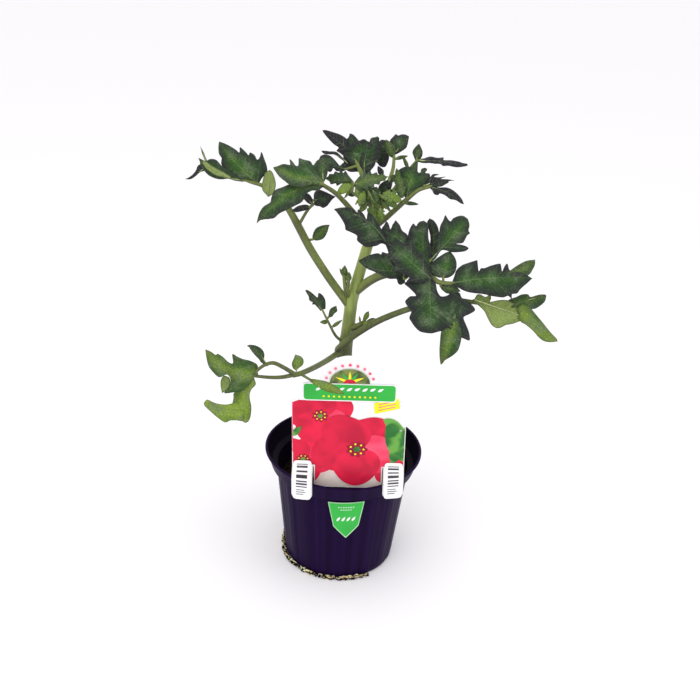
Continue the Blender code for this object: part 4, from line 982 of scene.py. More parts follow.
# --- Stem -------------------------------------------------------------------------------------
def stalk_material(name, tint_from, tint_to, roughness, shade_top_z=None):
    """Living green stalk skin, ribbed lengthways and downy.

    Fine hairs give it a soft pale sheen at the edges, over streaks of lighter and darker green,
    with painted shade below."""
    material, shader, add = new_material(name, roughness, Sheen_Weight=0.15, Sheen_Roughness=0.4,
                                         Subsurface_Weight=0.1, Subsurface_Scale=0.001)
    where = add("TexCoord").outputs["Object"]
    drawn_out = add("Mapping", {"Vector": where, "Scale": (1, 1, 0.14)})
    streaks = add("TexNoise", {"Vector": drawn_out, "Scale": 620.0, "Detail": 4.0})
    patches = add("TexNoise", {"Vector": where, "Scale": 45.0, "Detail": 2.0})
    both = add("Math", (streaks, 0.6, patches), operation="MULTIPLY_ADD")
    share = add("MapRange", (both, 0.62, 0.98))
    tint = add("Mix", {0: share, 6: tint_from, 7: tint_to}, **MIX)
    # Painted shade: a stalk is darkened to a dull purple green where its surface faces down, and
    # stays greenest where it faces up.
    under = add("Attribute", attribute_name="under").outputs["Fac"]
    painted_underside_shade = add("MapRange", (under, -0.3, 0.8, 0.0, 0.75), **SMOOTH)
    tint = add("Mix", {0: painted_underside_shade, 6: tint.outputs[2], 7: linear("#33352a")}, **MIX)
    if shade_top_z:
        # Painted shade: the part just above the peat, under the lowest leaf stalks, is darkened to
        # a dull brown.
        height = add("SeparateXYZ", (where,)).outputs["Z"]
        margin_age_and_foot_shade = add("MapRange", (height, shade_top_z - 0.006, shade_top_z + 0.022, 0.85, 0.0), **SMOOTH)
        tint = add("Mix", {0: margin_age_and_foot_shade, 6: tint.outputs[2], 7: linear("#3a3a1e")}, **MIX)
    bump = add("Bump", {"Height": streaks, "Strength": 0.5, "Distance": 0.0003})
    feed(shader, {"Base Color": tint.outputs[2], "Normal": bump})
    return material


def build_stem(plant):
    """The main stem, a little swollen where each leaf leaves it."""
    points = smooth_route([p for p, _ in STEM_ROUTE], 12)
    radii = spread([r for _, r in STEM_ROUTE], len(points))
    joints = [stalks[0].route[0][2] for stalks, _ in LEAVES.values()]
    full = []
    for point, radius in zip(points, radii):
        swell = max(math.exp(-((point.z - z) / 4)**2) for z in joints)
        ripple = 0.12 * noise.noise(Vector((0, 0, point.z * 0.22)))
        full.append(radius + 0.1 * swell + ripple - 0.06)
    green = Vector(plant.stem)
    skin = stalk_material("tomato stem skin", green * 0.66, green * 1.32, 0.55, STEM_SHADE_TOP)
    place_piece(tubes("stem_skin", [(points, full, 0)], [skin], 8), "main_stem")


# --- Leaves -----------------------------------------------------------------------------------
def leaf_material(plant, upper):
    """A living tomato leaf: thin, downy skin over a net of veins.

    The upper side is dark, green along its veins and purple grey towards the margin; the underside
    is paler and duller, with the veins standing out. A little light shines through."""
    name = "tomato leaf, upper side" if upper else "tomato leaf, underside"
    material, shader, add = new_material(
        name, 0.52 if upper else 0.7, Sheen_Weight=0.04 if upper else 0.1, Sheen_Roughness=0.5,
        Specular_IOR_Level=0.22 if upper else 0.1)
    flat = add("Attribute", attribute_name="flat_mm").outputs["Vector"]
    rib_mm, vein_mm, edge_mm, tone, purple = (
        add("Attribute", attribute_name=name).outputs["Fac"] for name in MARKS)

    # The net of veinlets is drawn with 1.4 mm meshes, coarser than the real 0.6 mm ones.
    net = add("TexVoronoi", {"Vector": flat, "Scale": 0.7}, feature="DISTANCE_TO_EDGE")
    mesh = add("MapRange", (net, 0.0, 0.16))
    patches = add("TexNoise", {"Vector": flat, "Scale": 0.16, "Detail": 3.0})
    grain = add("TexNoise", {"Vector": flat, "Scale": 0.9, "Detail": 4.0})
    vein = add("MapRange", (vein_mm, 0.0, 0.65, 0.4, 0.0), **SMOOTH)
    rib = add("MapRange", (rib_mm, 0.0, 0.7, 0.6, 0.0), **SMOOTH)
    # A side vein shows in some patches and is lost in others.
    seen = add("MapRange", (patches, 0.38, 0.62, 0.35, 1.1))
    vein = add("Math", (vein, seen), operation="MULTIPLY")
    veins = add("Math", (vein, rib), operation="MAXIMUM")

    if upper:
        # The blade is greener along its rib.
        near = add("MapRange", (rib_mm, 0.5, 6.0, 0.3, 0.0), **SMOOTH)
        raised = add("Math", (tone, near), operation="ADD")
        age = add("Math", (patches, 0.5, raised), operation="MULTIPLY_ADD")
        grown = add("MapRange", (age, 0.25, 0.75))
        fresh = add("MapRange", (age, 0.75, 1.25))
        green = add("Mix", {0: grown, 6: plant.mature, 7: plant.middle}, **MIX)
        green = add("Mix", {0: fresh, 6: green.outputs[2], 7: plant.young}, **MIX)
    else:
        dull = Vector(plant.under)
        green = add("Mix", {0: patches, 6: dull * 0.75, 7: dull * 1.25}, **MIX)
    # Painted sheen: broad pale patches lighten the upper side as soft reflections would, and the
    # underside only a little.
    painted_sheen = add("MapRange", (patches, 0.46, 0.7, 0.0, 0.65 if upper else 0.1), **SMOOTH)
    sheened = add("Mix", {0: painted_sheen, 6: green.outputs[2], 7: linear("#748668")}, **MIX)
    # Painted shade: the net of veinlets is darkened, most on old upper sides, as shade in the
    # sunken veinlets of a quilted blade.
    net_shade_share = add("MapRange", (tone, 0.0, 1.0, 0.5 if upper else 0.16, 0.12))
    net_shaded = add("Mix", {0: net_shade_share, 6: sheened.outputs[2], 7: mesh}, **MIX, blend_type="MULTIPLY")

    # The green fades to a dull purple grey over the last few millimetres before the margin.
    margin = add("MapRange", (edge_mm, 0.3, 6.0, 1.0, 0.0), **SMOOTH)
    speckle = add("MapRange", (grain, 0.3, 0.7, 0.45, 1.0))
    uneven = add("Math", (margin, speckle), operation="MULTIPLY")
    age = add("MapRange", (tone, 0.1, 0.7, 1.3 if upper else 0.3, 0.1))
    margin_age_and_foot_shade = add("Math", (uneven, age), operation="MULTIPLY")
    rim = add("MapRange", (edge_mm, 0.1, 0.8, 0.7, 0.0))
    thin = add("MapRange", (tone, 0.1, 0.9, 1.1, 0.5))
    rim = add("Math", (rim, thin), operation="MULTIPLY")
    stain = add("Math", (margin_age_and_foot_shade, rim), operation="MAXIMUM")
    stain = add("Math", (stain, purple), operation="ADD", use_clamp=True)
    stained = add("Mix", {0: stain, 6: net_shaded.outputs[2], 7: plant.margin}, **MIX)

    pale = linear("#7d9468" if upper else "#b3bf82")
    tint = add("Mix", {0: veins, 6: stained.outputs[2], 7: pale}, **MIX).outputs[2]
    relief = add("Math", (veins, -1.2 if upper else 1.6, mesh), operation="MULTIPLY_ADD")
    bump = add("Bump", {"Height": relief, "Strength": 0.8, "Distance": 0.0003})
    feed(shader, {"Base Color": tint, "Normal": bump})
    glow = add("BsdfTranslucent", {"Color": tint, "Normal": bump})
    mixed = add("MixShader", (0.15, shader, glow))
    feed(material.node_tree.nodes["Material Output"], {"Surface": mixed})
    return material


def side_veins(corners, size):
    """One side's veins as (start, end, faintness): one to every lobe, fainter ones in between."""
    outs = [0.0, *(y for _, y in corners), 0.0]
    veins = []
    for k, (x, y) in enumerate(corners):
        if y * size > 1.2 and y >= outs[k] and y >= outs[k + 2]:
            veins.append((Vector((max(x - VEIN_SLANT * y, 0.02), 0)), Vector((x, y)), 0.0))
    widest = max(outs)
    step = max(VEINS_APART[0], min(VEINS_APART[1], size * 0.13)) / size
    marks = sorted([0.02, *(min(vein[0].x, 0.95) for vein in veins), 0.96])
    for a, b in zip(marks, marks[1:]):
        extra = int((b - a) / step)
        for k in range(1, extra + 1):
            stray = 0.25 * noise.noise(Vector((a * 40, k * 1.7, size)))
            start = a + (b - a) * (k + stray) / (extra + 1)
            end = Vector((start + VEIN_SLANT * widest, widest))
            veins.append((Vector((start, 0)), end, FAINT_VEIN))
    return [(start * size, end * size, faint) for start, end, faint in veins]


def cut_line(bm, spot, way, side=0):
    """Cut a flat shape along a line; on one side of the rib only if asked."""
    geom = bm.verts[:] + bm.edges[:] + bm.faces[:]
    if side:
        faces = [face for face in bm.faces if face.calc_center_median().y * side > 0]
        edges = {edge for face in faces for edge in face.edges}
        geom = list({vert for edge in edges for vert in edge.verts}) + list(edges) + faces
    bmesh.ops.bisect_plane(bm, geom=geom, plane_co=spot, plane_no=way)


def cut_squares(bm, axes, step):
    """Cut a flat shape into squares, so that it can bend."""
    for axis in axes:
        low = min(vert.co[axis] for vert in bm.verts)
        high = max(vert.co[axis] for vert in bm.verts)
        way = Vector(float(k == axis) for k in range(3))
        for k in range(math.ceil(low / step), math.ceil(high / step)):
            cut_line(bm, way * k * step, way)


def leaf_axes(spec):
    """A leaflet's foot, length, and its directions along, to the right and up from its face."""
    foot = Vector(spec.foot)
    along = Vector(spec.tip) - foot
    size = along.length
    along.normalize()
    face = Vector(spec.face)
    face = (face - along * face.dot(along)).normalized()
    return foot, size, along, along.cross(face), face


def flat_blade(spec, size):
    """A leaflet laid flat: its outline filled, then cut along the rib, the veins and a grid.

    Gives the bmesh, the layers of MARKS, the veins of both sides and the points of the margin."""
    neck = min(0.05, 0.9 / size)
    halves = [smooth_route([(0, neck), *side, (1, 0)]) for side in (spec.right, spec.left)]
    outline = [(p.x * size, max(p.y, 0.002) * size) for p in halves[0][:-1]] + [(size, 0)]
    outline += [(p.x * size, -max(p.y, 0.002) * size) for p in reversed(halves[1][:-1])]
    bm = bmesh.new()
    layers = {key: bm.verts.layers.float.new(key) for key in MARKS}
    layers["flat_mm"] = bm.verts.layers.float_vector.new("flat_mm")
    verts = [bm.verts.new((x, y, 0)) for x, y in outline]
    edges = [bm.edges.new(pair) for pair in zip(verts, verts[1:] + verts[:1])]
    margin = kdtree.KDTree(len(outline) * MARGIN_PARTS)
    for k, (a, b) in enumerate(zip(outline, outline[1:] + outline[:1])):
        for part in range(MARGIN_PARTS):
            spot = Vector(a).lerp(Vector(b), part / MARGIN_PARTS)
            margin.insert((spot.x, spot.y, 0), k * MARGIN_PARTS + part)
    margin.balance()
    bmesh.ops.contextual_create(bm, geom=edges)
    cut_line(bm, (0, 0, 0), (0, 1, 0))
    veins = {1: side_veins(spec.right, size), -1: side_veins(spec.left, size)}
    for key, found in veins.items():
        for start, end, _ in found:
            run = end - start
            cut_line(bm, (start.x, 0, 0), (-run.y, run.x * key, 0), key)
    cut_squares(bm, (0, 1), BLADE_STEP)
    bmesh.ops.remove_doubles(bm, verts=bm.verts, dist=BLADE_WELD)
    return bm, layers, veins, margin


def vein_distance(spot, veins):
    """How far a spot lies from the nearest vein; a vein fades toward its end."""
    nearest = 9.0
    for start, end, faint in veins:
        run = end - start
        t = min(max((spot - start).dot(run) / run.length_squared, 0), 0.95)
        nearest = min(nearest, (spot - start - run * t).length + faint + 0.3 * t)
    return nearest


def add_blade(target, spec, seed, plant):
    """Add one leaflet's blade to a bmesh: marked, quilted, waved at its margin and bent."""
    foot, size, along, right, face = leaf_axes(spec)
    bm, layers, veins, margin = flat_blade(spec, size)
    small = min(1, size / FULL_LEAFLET)
    quilting = plant.quilting / MM * small
    waving = plant.margin_wave / MM * small
    for vert in bm.verts:
        spot = Vector((vert.co.x, abs(vert.co.y)))
        key = 1 if vert.co.y >= 0 else -1
        vein_mm = vein_distance(spot, veins[key])
        edge_mm = margin.find(vert.co)[2]
        rise = quilting * (1 - math.exp(-(vein_mm / 1.1)**2)) * (1 - math.exp(-(spot.y / 0.9)**2))
        rise *= min(1, edge_mm / 1.5)
        rise -= ROLLED_MARGIN * math.exp(-edge_mm / 1.3)
        ripple = noise.noise(Vector((vert.co.x * 0.11, key * 3.1, seed * 1.7)))
        rise += 2.4 * waving * math.exp(-edge_mm / 4) * ripple
        marks = {"rib_mm": spot.y + 0.45 * spot.x / size + max(0, 0.5 - size * 0.02),
                 "vein_mm": vein_mm, "edge_mm": edge_mm, "tone": spec.tone,
                 "purple": spec.purple, "flat_mm": (vert.co.x, vert.co.y, seed * 37.0)}
        for mark, value in marks.items():
            vert[layers[mark]] = value
        share, out = spot / size
        bend = 4 * share * (1 - share)
        aside = key * out + spec.bow * max(0, bend)
        lift = spec.arch * bend - CUPPING * out**2
        vert.co = foot + (along * share + right * aside + face * lift) * size + face * rise
    bm.normal_update()
    if sum(part.normal.dot(face) for part in bm.faces) < 0:
        bmesh.ops.reverse_faces(bm, faces=bm.faces)
    join(target, bm)


def nearest_on(stalks, place):
    """The point nearest to a place on the centre lines of a leaf's stalks."""
    points = [p for stalk in stalks for p in smooth_route(stalk.route, 8)]
    return min(points, key=lambda p: (p - place).length)


def stalk_runs(stalks, leaflets):
    """The stalks and stalklets of a leaf, and the ribs under its blades."""
    runs = []
    for stalk in stalks:
        points = smooth_route(stalk.route, 7)
        radii = (stalk.foot_radius * 1.05, stalk.foot_radius * 0.92, stalk.tip_radius)
        runs.append((points, spread(radii, len(points)), 0))
    for spec in leaflets:
        foot, size, along, right, face = leaf_axes(spec)
        thick = min(0.62, 0.2 + size * 0.012)
        rib = []
        for k in range(RIB_PARTS + 1):
            share = RIB_REACH * k / RIB_PARTS
            arc = 4 * share * (1 - share) * size
            sunk = thick + 0.15 + 0.35 * share
            rib.append(foot + along * (share * size) + right * (spec.bow * arc)
                       + face * (spec.arch * arc - sunk))
        runs.append((rib, spread((thick, thick * 0.6, 0.1), len(rib)), 1))
        start = nearest_on(stalks, foot)
        if spec.stalked and (start - foot).length > SHORTEST_STALKLET:
            points = smooth_route((start, foot, rib[1]), 5)
            runs.append((points, spread((0.85, 0.7, thick), len(points)), 0))
    return runs


def build_leaves(plant):
    """Every leaf: its blades as one piece, its stalks and ribs as another."""
    sides = [leaf_material(plant, True), leaf_material(plant, False)]
    green = Vector(plant.petiole)
    young = stalk_material("tomato leaf stalk skin", green * 0.62, green * 1.2, 0.6)
    old = stalk_material("older tomato leaf stalk skin", green * 0.38, green * 0.78, 0.6)
    rib = stalk_material("tomato leaf rib", linear("#8d9c62"), linear("#b4bd86"), 0.6)
    for order, (name, (stalks, leaflets)) in enumerate(LEAVES.items()):
        bm = bmesh.new()
        for k, spec in enumerate(leaflets):
            add_blade(bm, spec, order * 16 + k, plant)
        blades = add_piece(name + "_blades", bm, sides)
        thicken(blades, plant.blade, 1)
        skin = old if name in OLD_LEAVES else young
        stalk = tubes(name + "_stalks", stalk_runs(stalks, leaflets), [skin, rib])
        for piece in (blades, stalk):
            place_piece(piece, name)


# --- Label card and sticker -------------------------------------------------------------------
def turned(across, height, centre, pivot):
    """Where a point lies on its wall when its sheet is turned a little about a pivot."""
    x, z = Matrix.Rotation(-CARD_TURN, 2) @ Vector((across, height - pivot))
    return x + centre, z + pivot


def card_place(pot, across, height):
    """Where a point of the flat card stands: the legs bend out over the rim, the rest is flat."""
    top = pot.height / MM
    x, z = turned(across, height, CARD_CENTRE, top)
    if abs(across) < CARD_HALF_WIDTH - LEG_WIDTH - SLIT * 0.5:
        return Vector((x, CARD_FRONT, z))
    share = min(1.0, max(0.0, (BEND_TOP - height) / (BEND_TOP - top - 3)))
    share = share * share * (3 - 2 * share)
    outside = pot.rim_radius / MM + GAP + CARD_THICK
    # The card is stiff: a leg hardly follows the round of the rim.
    inner = CARD_CENTRE + math.copysign(CARD_HALF_WIDTH - LEG_WIDTH, across)
    bent = min(CARD_FRONT, -math.sqrt(outside**2 - (inner + LEG_FOLLOWS * (x - inner)) ** 2))
    return Vector((x, CARD_FRONT + share * (bent - CARD_FRONT), z))


def shield_place(pot, across, height):
    """Where a point of the sticker lies: just off the wall, turned like the card."""
    x, z = turned(across, height, SHIELD_CENTRE, SHIELD_TOP)
    radius = wall_radius(pot, z) + GAP + SHIELD_THICK
    return Vector((x, -math.sqrt(radius**2 - x * x), z))


def lifted(place, height):
    """A way of placing points that lifts them off the sheet, toward the front."""
    return lambda x, z: place(x, z) - Vector((0, height, 0))


def rounded(corners, radius, steps=5):
    """A flat outline whose corners are rounded off."""
    found = []
    count = len(corners)
    for k in range(count):
        before, corner, after = (Vector(corners[(k + i) % count]) for i in (-1, 0, 1))
        first = corner.lerp(before, min(0.49, radius / (corner - before).length))
        last = corner.lerp(after, min(0.49, radius / (corner - after).length))
        for i in range(steps + 1):
            t = i / steps
            found.append(first.lerp(corner, t).lerp(corner.lerp(last, t), t))
    return found


def block(low, high):
    """A plain oblong's outline, from its lower left and its upper right corner."""
    return [low, (high[0], low[1]), high, (low[0], high[1])]


def arc(centre, wide, high, first, last, spots):
    """Points on an ellipse's arc, at the given shares of its angle."""
    angles = [first + (last - first) * spot for spot in spots]
    return [Vector((centre[0] + wide * math.cos(angle), centre[1] + high * math.sin(angle)))
            for angle in angles]


def ring(centre, wide, high, lobes=0, depth=0.0, turn=0.0, steps=48):
    """A round or lobed outline."""
    found = []
    for k in range(steps):
        angle = math.tau * k / steps
        swell = 1 + depth * math.cos(lobes * (angle - turn))
        found.append(Vector((centre[0] + wide * swell * math.cos(angle),
                             centre[1] + high * swell * math.sin(angle))))
    return found


def half_round(centre, wide, high, steps):
    """The outline of an ellipse's upper half."""
    return arc(centre, wide, high, 0, math.pi, [k / (steps - 1) for k in range(steps)])


def leaf_shape(foot, tip, wide):
    """A simple pointed leaf's outline."""
    foot = Vector(foot)
    run = Vector(tip) - foot
    out = Vector((-run.y, run.x)).normalized() * wide
    half = [(k / 8, math.sin(math.pi * (k / 8)**0.8)) for k in range(9)]
    return ([foot + run * t + out * w for t, w in half]
            + [foot + run * t - out * w for t, w in reversed(half[1:-1])])


def clipped(bm, low, high):
    """Cut a flat shape down to a box, across and up."""
    for axis, sign, edge in ((0, -1, low[0]), (0, 1, high[0]), (2, -1, low[1]), (2, 1, high[1])):
        way = Vector(float(k == axis) for k in range(3))
        bmesh.ops.bisect_plane(bm, geom=bm.verts[:] + bm.edges[:] + bm.faces[:],
                               plane_co=way * edge, plane_no=way * sign, clear_outer=True)


def add_shape(target, outline, index, place, box=None, step=0.8):
    """Fill a flat outline, divide it so that it can bend, and add it in its place."""
    bm = bmesh.new()
    verts = [bm.verts.new((x, 0, z)) for x, z in outline]
    edges = [bm.edges.new(pair) for pair in zip(verts, verts[1:] + verts[:1])]
    bmesh.ops.triangle_fill(bm, edges=edges, use_beauty=True, normal=(0, -1, 0))
    if box:
        clipped(bm, *box)
    if not bm.faces:
        bm.free()
        return
    cut_squares(bm, (0, 2), step)
    for vert in bm.verts:
        vert.co = place(vert.co.x, vert.co.z)
    bmesh.ops.recalc_face_normals(bm, faces=bm.faces)
    if sum(face.normal.y for face in bm.faces) > 0:
        bmesh.ops.reverse_faces(bm, faces=bm.faces)
    for face in bm.faces:
        face.material_index = index
    join(target, bm)


def add_sheet(name, outline, place, depth, materials):
    """A thin sheet as a piece, its face to the front."""
    bm = bmesh.new()
    add_shape(bm, outline, 0, place)
    piece = add_piece(name, bm, materials)
    thicken(piece, depth * MM)
    return piece


def print_material(name, first, second, size_mm):
    """Offset ink under a clear gloss coat on polystyrene card.

    Two inks blend softly, as in a printed picture, and the coat gives a thin even shine."""
    material, shader, add = new_material(name, 0.32, Coat_Weight=0.05, Specular_IOR_Level=0.12)
    where = add("TexCoord").outputs["Object"]
    cloud = add("TexNoise", {"Vector": where, "Scale": 1000.0 / size_mm, "Detail": 1.5,
                             "Distortion": 0.4})
    share = add("MapRange", (cloud, 0.38, 0.66), **SMOOTH)
    tint = add("Mix", {0: share, 6: first, 7: second}, **MIX)
    feed(shader, {"Base Color": tint.outputs[2]})
    return material


def card_inks(card):
    """The card's printed inks, in the order of their numbers."""
    inks = []
    for name, first, second, size_mm in CARD_INKS:
        main = linear(first) if first.startswith("#") else Vector(getattr(card, first))
        cloud = linear(second) if isinstance(second, str) else main * second
        inks.append(print_material(name, main, cloud, size_mm))
    return inks


def poppy(x, z, size, turn):
    """A broad poppy from the front: petals in three reds, a dark heart and yellow stamens."""
    shapes = []
    for k, ink in enumerate((RED, PETAL, ROSE, PETAL, RED)):
        angle = turn + math.tau * (k * 2 % 5) / 5
        spot = (x + size * 0.5 * math.cos(angle), z + size * 0.46 * math.sin(angle))
        shapes.append((ink, ring(spot, size * 0.58, size * 0.53, 3, 0.06, angle)))
    shapes.append((DARK_RED, ring((x, z), size * 0.24, size * 0.21, 9, 0.12)))
    for k in range(7):
        angle = turn + math.tau * k / 7
        spot = (x + size * 0.16 * math.cos(angle), z + size * 0.14 * math.sin(angle))
        shapes.append((YELLOW, ring(spot, size * 0.025, size * 0.025, steps=10)))
    shapes.append((LEAF, ring((x, z), size * 0.08, size * 0.07, 6, 0.2)))
    return shapes


def card_shapes():
    """Every printed shape of the card, from the lowest up: ink, outline and what it is cut to."""
    half = CARD_HALF_WIDTH
    inner = half - LEG_WIDTH
    panel = ((-half + 0.5, PANEL_FOOT), (half - 0.5, PANEL_TOP))
    tongue = ((-inner + SLIT + 0.8, TONGUE_FOOT), (inner - SLIT - 0.8, PANEL_FOOT))
    shapes = []

    def put(ink, outline, *boxes):
        shapes.append((ink, outline, boxes or (None,)))

    put(PALE, [(-half, 70), (half, 70), (half, 101), (-half, 97)], panel, tongue)
    put(PINK, block((-half + 0.1, 97), (-half + 0.7, 131)))
    for flower in POPPIES:
        for ink, outline in poppy(*flower):
            put(ink, outline, panel, tongue)
    for foot, tip, wide in CARD_LEAVES:
        put(LEAF, leaf_shape(foot, tip, wide), panel)
    # The yellow patch, slanted, with plain bars
    put(YELLOW, rounded([(15, 124.5), (29.5, 128.5), (28.6, 135.2), (14.4, 131.5)], 0.8))
    for low in (126.6, 128.5, 130.4):
        put(PINK, [(17, low), (27, low + 2.6), (27, low + 3.2), (17, low + 0.6)])
    # The banner: white edge, green field, a row of small white leaves and one of yellow dots
    put(WHITE, rounded(block((-27.2, 132.4), (27.2, 143.8)), 2.2))
    put(GREEN, rounded(block((-26.6, 133), (26.6, 143.3)), 1.9))
    for k in range(9):
        x = -18 + 4.5 * k
        put(WHITE, leaf_shape((x - 1.7, 139.2 + 0.3 * (k % 2)), (x + 1.7, 141.2), 0.8))
    for k in range(11):
        put(YELLOW, ring((-15 + 3 * k, 135.4), 0.65, 0.65, steps=16))
    # The arch: an olive half round with pale rays and a red sun, and a row of pink dots round it
    put(OLIVE, half_round((0, 144.2), 11.6, 9.2, 32))
    for k, tip in enumerate(arc((0, 144.2), 9.6, 7.8, 0, math.pi, (1/6, 2/6, 3/6, 4/6, 5/6))):
        put(GREEN if k % 2 else YELLOW, leaf_shape((0, 144.8), tip, 0.8))
    put(RED, half_round((0, 144.3), 3.6, 2.6, 20))
    for spot in arc((0, 143.6), 14.2, 12.4, 0, math.pi, [k / 10 for k in range(1, 10)]):
        put(PINK, ring(spot, 0.9, 0.9, steps=16))
    # White tabs on both legs, with plain even bars
    for x in (LEG_WIDTH / 2 - half, half - LEG_WIDTH / 2):
        put(WHITE, rounded(block((x - 5.5, 69), (x + 5.5, 91.4)), 2.6))
        for z, high, wide in TAB_BARS:
            put(GREY, block((x - 3.4, z), (x - 3.4 + wide, z + high)))
    return shapes


def card_outline():
    """The bare card's outline, across and up: a panel with an arch above and two legs."""
    half = CARD_HALF_WIDTH
    inner = half - LEG_WIDTH
    tongue = inner - SLIT
    leg = LEG_WIDTH / 2
    quarter = math.pi / 2
    right = [
        (0, 72.5), (tongue - 2, 72.5), (tongue - 0.6, 73.1), (tongue, 74.5),
        (tongue, BEND_TOP - 0.6), (inner, BEND_TOP - 0.6),
        *arc((half - leg, 68.3 + leg * 0.6), leg, leg * 0.6, math.pi, math.tau,
             [k / 12 for k in range(13)]),
        (half, 131.5), (half - 0.4, 132.3), (half - 1.2, 132.6), (27.4, 132.9),
        (27.4, BANNER_TOP - 2),
        *arc((25.4, BANNER_TOP - 2), 2, 2, 0, quarter, [k / 4 for k in range(1, 5)]),
        *arc((0, BANNER_TOP), 17.5, 17.5, 0, quarter, [k / 16 for k in range(1, 17)]),
    ]
    return right + [(-x, z) for x, z in reversed(right[1:-1])]


def build_card(card, pot):
    """The bare card, and the print on it as thin layers."""
    inks = card_inks(card)
    place = partial(card_place, pot)
    sheet = add_sheet("card_sheet", card_outline(), place, CARD_THICK, inks)
    lift = card.ink_lift / MM
    bm = bmesh.new()
    for layer, (index, outline, boxes) in enumerate(card_shapes(), 1):
        bends = min(z for _, z in outline) < BEND_TOP
        for box in boxes:
            add_shape(bm, outline, index, lifted(place, lift * layer), box, 0.4 if bends else 0.8)
    for piece in (sheet, add_piece("card_print", bm, inks)):
        place_piece(piece, "label_card")


def build_sticker(card, pot):
    """The shield-shaped sticker: a pale edge, a green field on it and small white leaves."""
    green = bpy.data.materials["green ink"]
    white = bpy.data.materials["white polystyrene card"]
    pale = print_material("pale sticker edge", linear("#a8dca9"), linear("#b9e4b6"), 20)
    place = partial(shield_place, pot)
    outline = [(SHIELD_HALF_TOP, SHIELD_TOP), (-SHIELD_HALF_TOP, SHIELD_TOP),
               (-SHIELD_HALF_FOOT, SHIELD_SIDE), (0, SHIELD_TIP), (SHIELD_HALF_FOOT, SHIELD_SIDE)]
    sheet = add_sheet("sticker_sheet", rounded(outline, 0.5), place, SHIELD_THICK, [pale])
    middle = Vector((0, (SHIELD_TOP + SHIELD_SIDE) / 2))
    field = [middle + (Vector(p) - middle) * SHIELD_FIELD for p in outline]
    lift = card.ink_lift / MM
    bm = bmesh.new()
    add_shape(bm, rounded(field, 0.5), 0, lifted(place, lift * 10))
    for count, apart, centre, low, half, high, wide in SHIELD_LEAVES:
        for k in range(count):
            x = centre + apart * (k - (count - 1) / 2)
            add_shape(bm, leaf_shape((x - half, low), (x + half, low + high), wide), 1,
                      lifted(place, lift * 14))
    for piece in (sheet, add_piece("sticker_print", bm, [green, white])):
        place_piece(piece, "shield_sticker")


# --- Stage ------------------------------------------------------------------------------------
def stand_object(name, data):
    """An object of the stage, linked to the scene."""
    thing = bpy.data.objects.new(name, data)
    bpy.context.scene.collection.objects.link(thing)
    return thing


def build_stage(stage):
    """A wide pale floor, soft light from above and in front, and the camera."""
    scene = bpy.context.scene
    paper, shader, _ = new_material("matt white paper", 0.9, Specular_IOR_Level=0.2)
    feed(shader, {"Base Color": stage.paper})
    bm = bmesh.new()
    bmesh.ops.create_grid(bm, x_segments=1, y_segments=1, size=stage.floor_side / 2 / MM)
    stand = [add_piece("floor", bm, [paper], smooth=False)]
    scene.world = bpy.data.worlds.new("even light")
    scene.world.use_nodes = True
    feed(scene.world.node_tree.nodes["Background"], ((1, 1, 1), stage.ambient))
    for name, spot, side, share in LIGHTS:
        light = bpy.data.lights.new(name, "AREA")
        light.size = side
        light.energy = stage.light_power * share
        lamp = stand_object(name, light)
        lamp.location = spot
        aim = Vector(LIT_SPOT) - lamp.location
        lamp.rotation_euler = aim.to_track_quat("-Z", "Y").to_euler()
        stand.append(lamp)
    scene.view_settings.view_transform = "Standard"

    camera = bpy.data.cameras.new("camera")
    camera.lens = stage.lens
    camera.clip_start = 0.01
    eye = stand_object("camera", camera)
    back = Vector((0, -math.cos(CAMERA_TILT), math.sin(CAMERA_TILT)))
    across = Vector((1, 0, 0))
    up = Vector((0, math.sin(CAMERA_TILT), math.cos(CAMERA_TILT)))
    turn = Matrix((across * math.cos(CAMERA_ROLL) + up * math.sin(CAMERA_ROLL),
                   up * math.cos(CAMERA_ROLL) - across * math.sin(CAMERA_ROLL), back))
    spot = Vector(CAMERA_TARGET) + back * CAMERA_DISTANCE
    eye.matrix_world = Matrix.Translation(spot) @ turn.transposed().to_4x4()
    scene.camera = eye


# --- The add-on -------------------------------------------------------------------------------
class PLANT_OT_pot(bpy.types.Operator):
    """Build the nursery pot"""

    bl_idname = "plant.build_pot"
    bl_label = "Pot"

    def execute(self, context):
        build_pot(context.scene.plant_pot)
        return {"FINISHED"}


class PLANT_OT_peat(bpy.types.Operator):
    """Build the peat in the pot"""

    bl_idname = "plant.build_peat"
    bl_label = "Peat"

    def execute(self, context):
        build_peat(context.scene.plant_pot)
        return {"FINISHED"}


class PLANT_OT_roots(bpy.types.Operator):
    """Build the roots at the pot's foot"""

    bl_idname = "plant.build_roots"
    bl_label = "Roots"

    def execute(self, context):
        build_roots(context.scene.plant_pot)
        return {"FINISHED"}


class PLANT_OT_stem(bpy.types.Operator):
    """Build the main stem"""

    bl_idname = "plant.build_stem"
    bl_label = "Stem"

    def execute(self, context):
        build_stem(context.scene.plant_plant)
        return {"FINISHED"}


class PLANT_OT_leaves(bpy.types.Operator):
    """Build every leaf"""

    bl_idname = "plant.build_leaves"
    bl_label = "Leaves"

    def execute(self, context):
        build_leaves(context.scene.plant_plant)
        return {"FINISHED"}


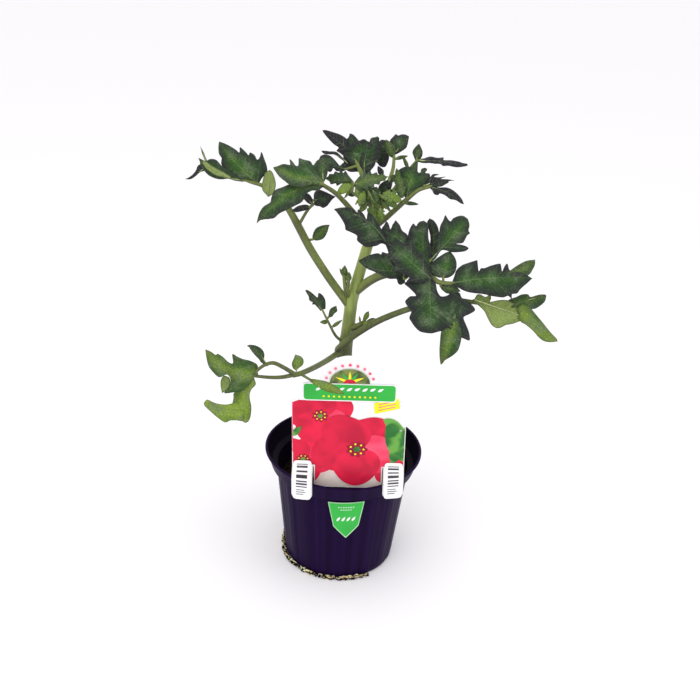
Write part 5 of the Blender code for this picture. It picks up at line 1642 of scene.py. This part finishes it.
class PLANT_OT_card(bpy.types.Operator):
    """Build the printed label card"""

    bl_idname = "plant.build_card"
    bl_label = "Label card"

    def execute(self, context):
        build_card(context.scene.plant_card, context.scene.plant_pot)
        return {"FINISHED"}


class PLANT_OT_sticker(bpy.types.Operator):
    """Build the sticker on the pot"""

    bl_idname = "plant.build_sticker"
    bl_label = "Sticker"

    def execute(self, context):
        build_sticker(context.scene.plant_card, context.scene.plant_pot)
        return {"FINISHED"}


class PLANT_OT_stage(bpy.types.Operator):
    """Build the floor, the light and the camera"""

    bl_idname = "plant.build_stage"
    bl_label = "Stage"

    def execute(self, context):
        build_stage(context.scene.plant_stage)
        return {"FINISHED"}


OPERATORS = (PLANT_OT_pot, PLANT_OT_peat, PLANT_OT_roots, PLANT_OT_stem, PLANT_OT_leaves,
             PLANT_OT_card, PLANT_OT_sticker, PLANT_OT_stage)
SETTINGS = {"plant_pot": PotSettings, "plant_card": CardSettings, "plant_plant": PlantSettings,
            "plant_stage": StageSettings}


class PLANT_PT_panel(bpy.types.Panel):
    """The plant's settings and the buttons that build it"""

    bl_idname = "PLANT_PT_panel"
    bl_label = "Potted tomato plant"
    bl_space_type = "VIEW_3D"
    bl_region_type = "UI"
    bl_category = "Tomato plant"

    def draw(self, context):
        for name, group in SETTINGS.items():
            box = self.layout.box()
            for key in group.__annotations__:
                box.prop(getattr(context.scene, name), key)
        for operator in OPERATORS:
            self.layout.operator(operator.bl_idname)


def register():
    """Register the settings, the operators and the panel."""
    for group in (*SETTINGS.values(), *OPERATORS, PLANT_PT_panel):
        bpy.utils.register_class(group)
    for name, group in SETTINGS.items():
        setattr(bpy.types.Scene, name, bpy.props.PointerProperty(type=group))


def unregister():
    """Take back what register added."""
    for name in SETTINGS:
        delattr(bpy.types.Scene, name)
    for group in reversed((*SETTINGS.values(), *OPERATORS, PLANT_PT_panel)):
        bpy.utils.unregister_class(group)


def main():
    """Build the whole plant."""
    register()
    for operator in OPERATORS:
        getattr(bpy.ops.plant, operator.bl_idname.partition(".")[2])()
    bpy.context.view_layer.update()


if __name__ == "__main__":
    main()
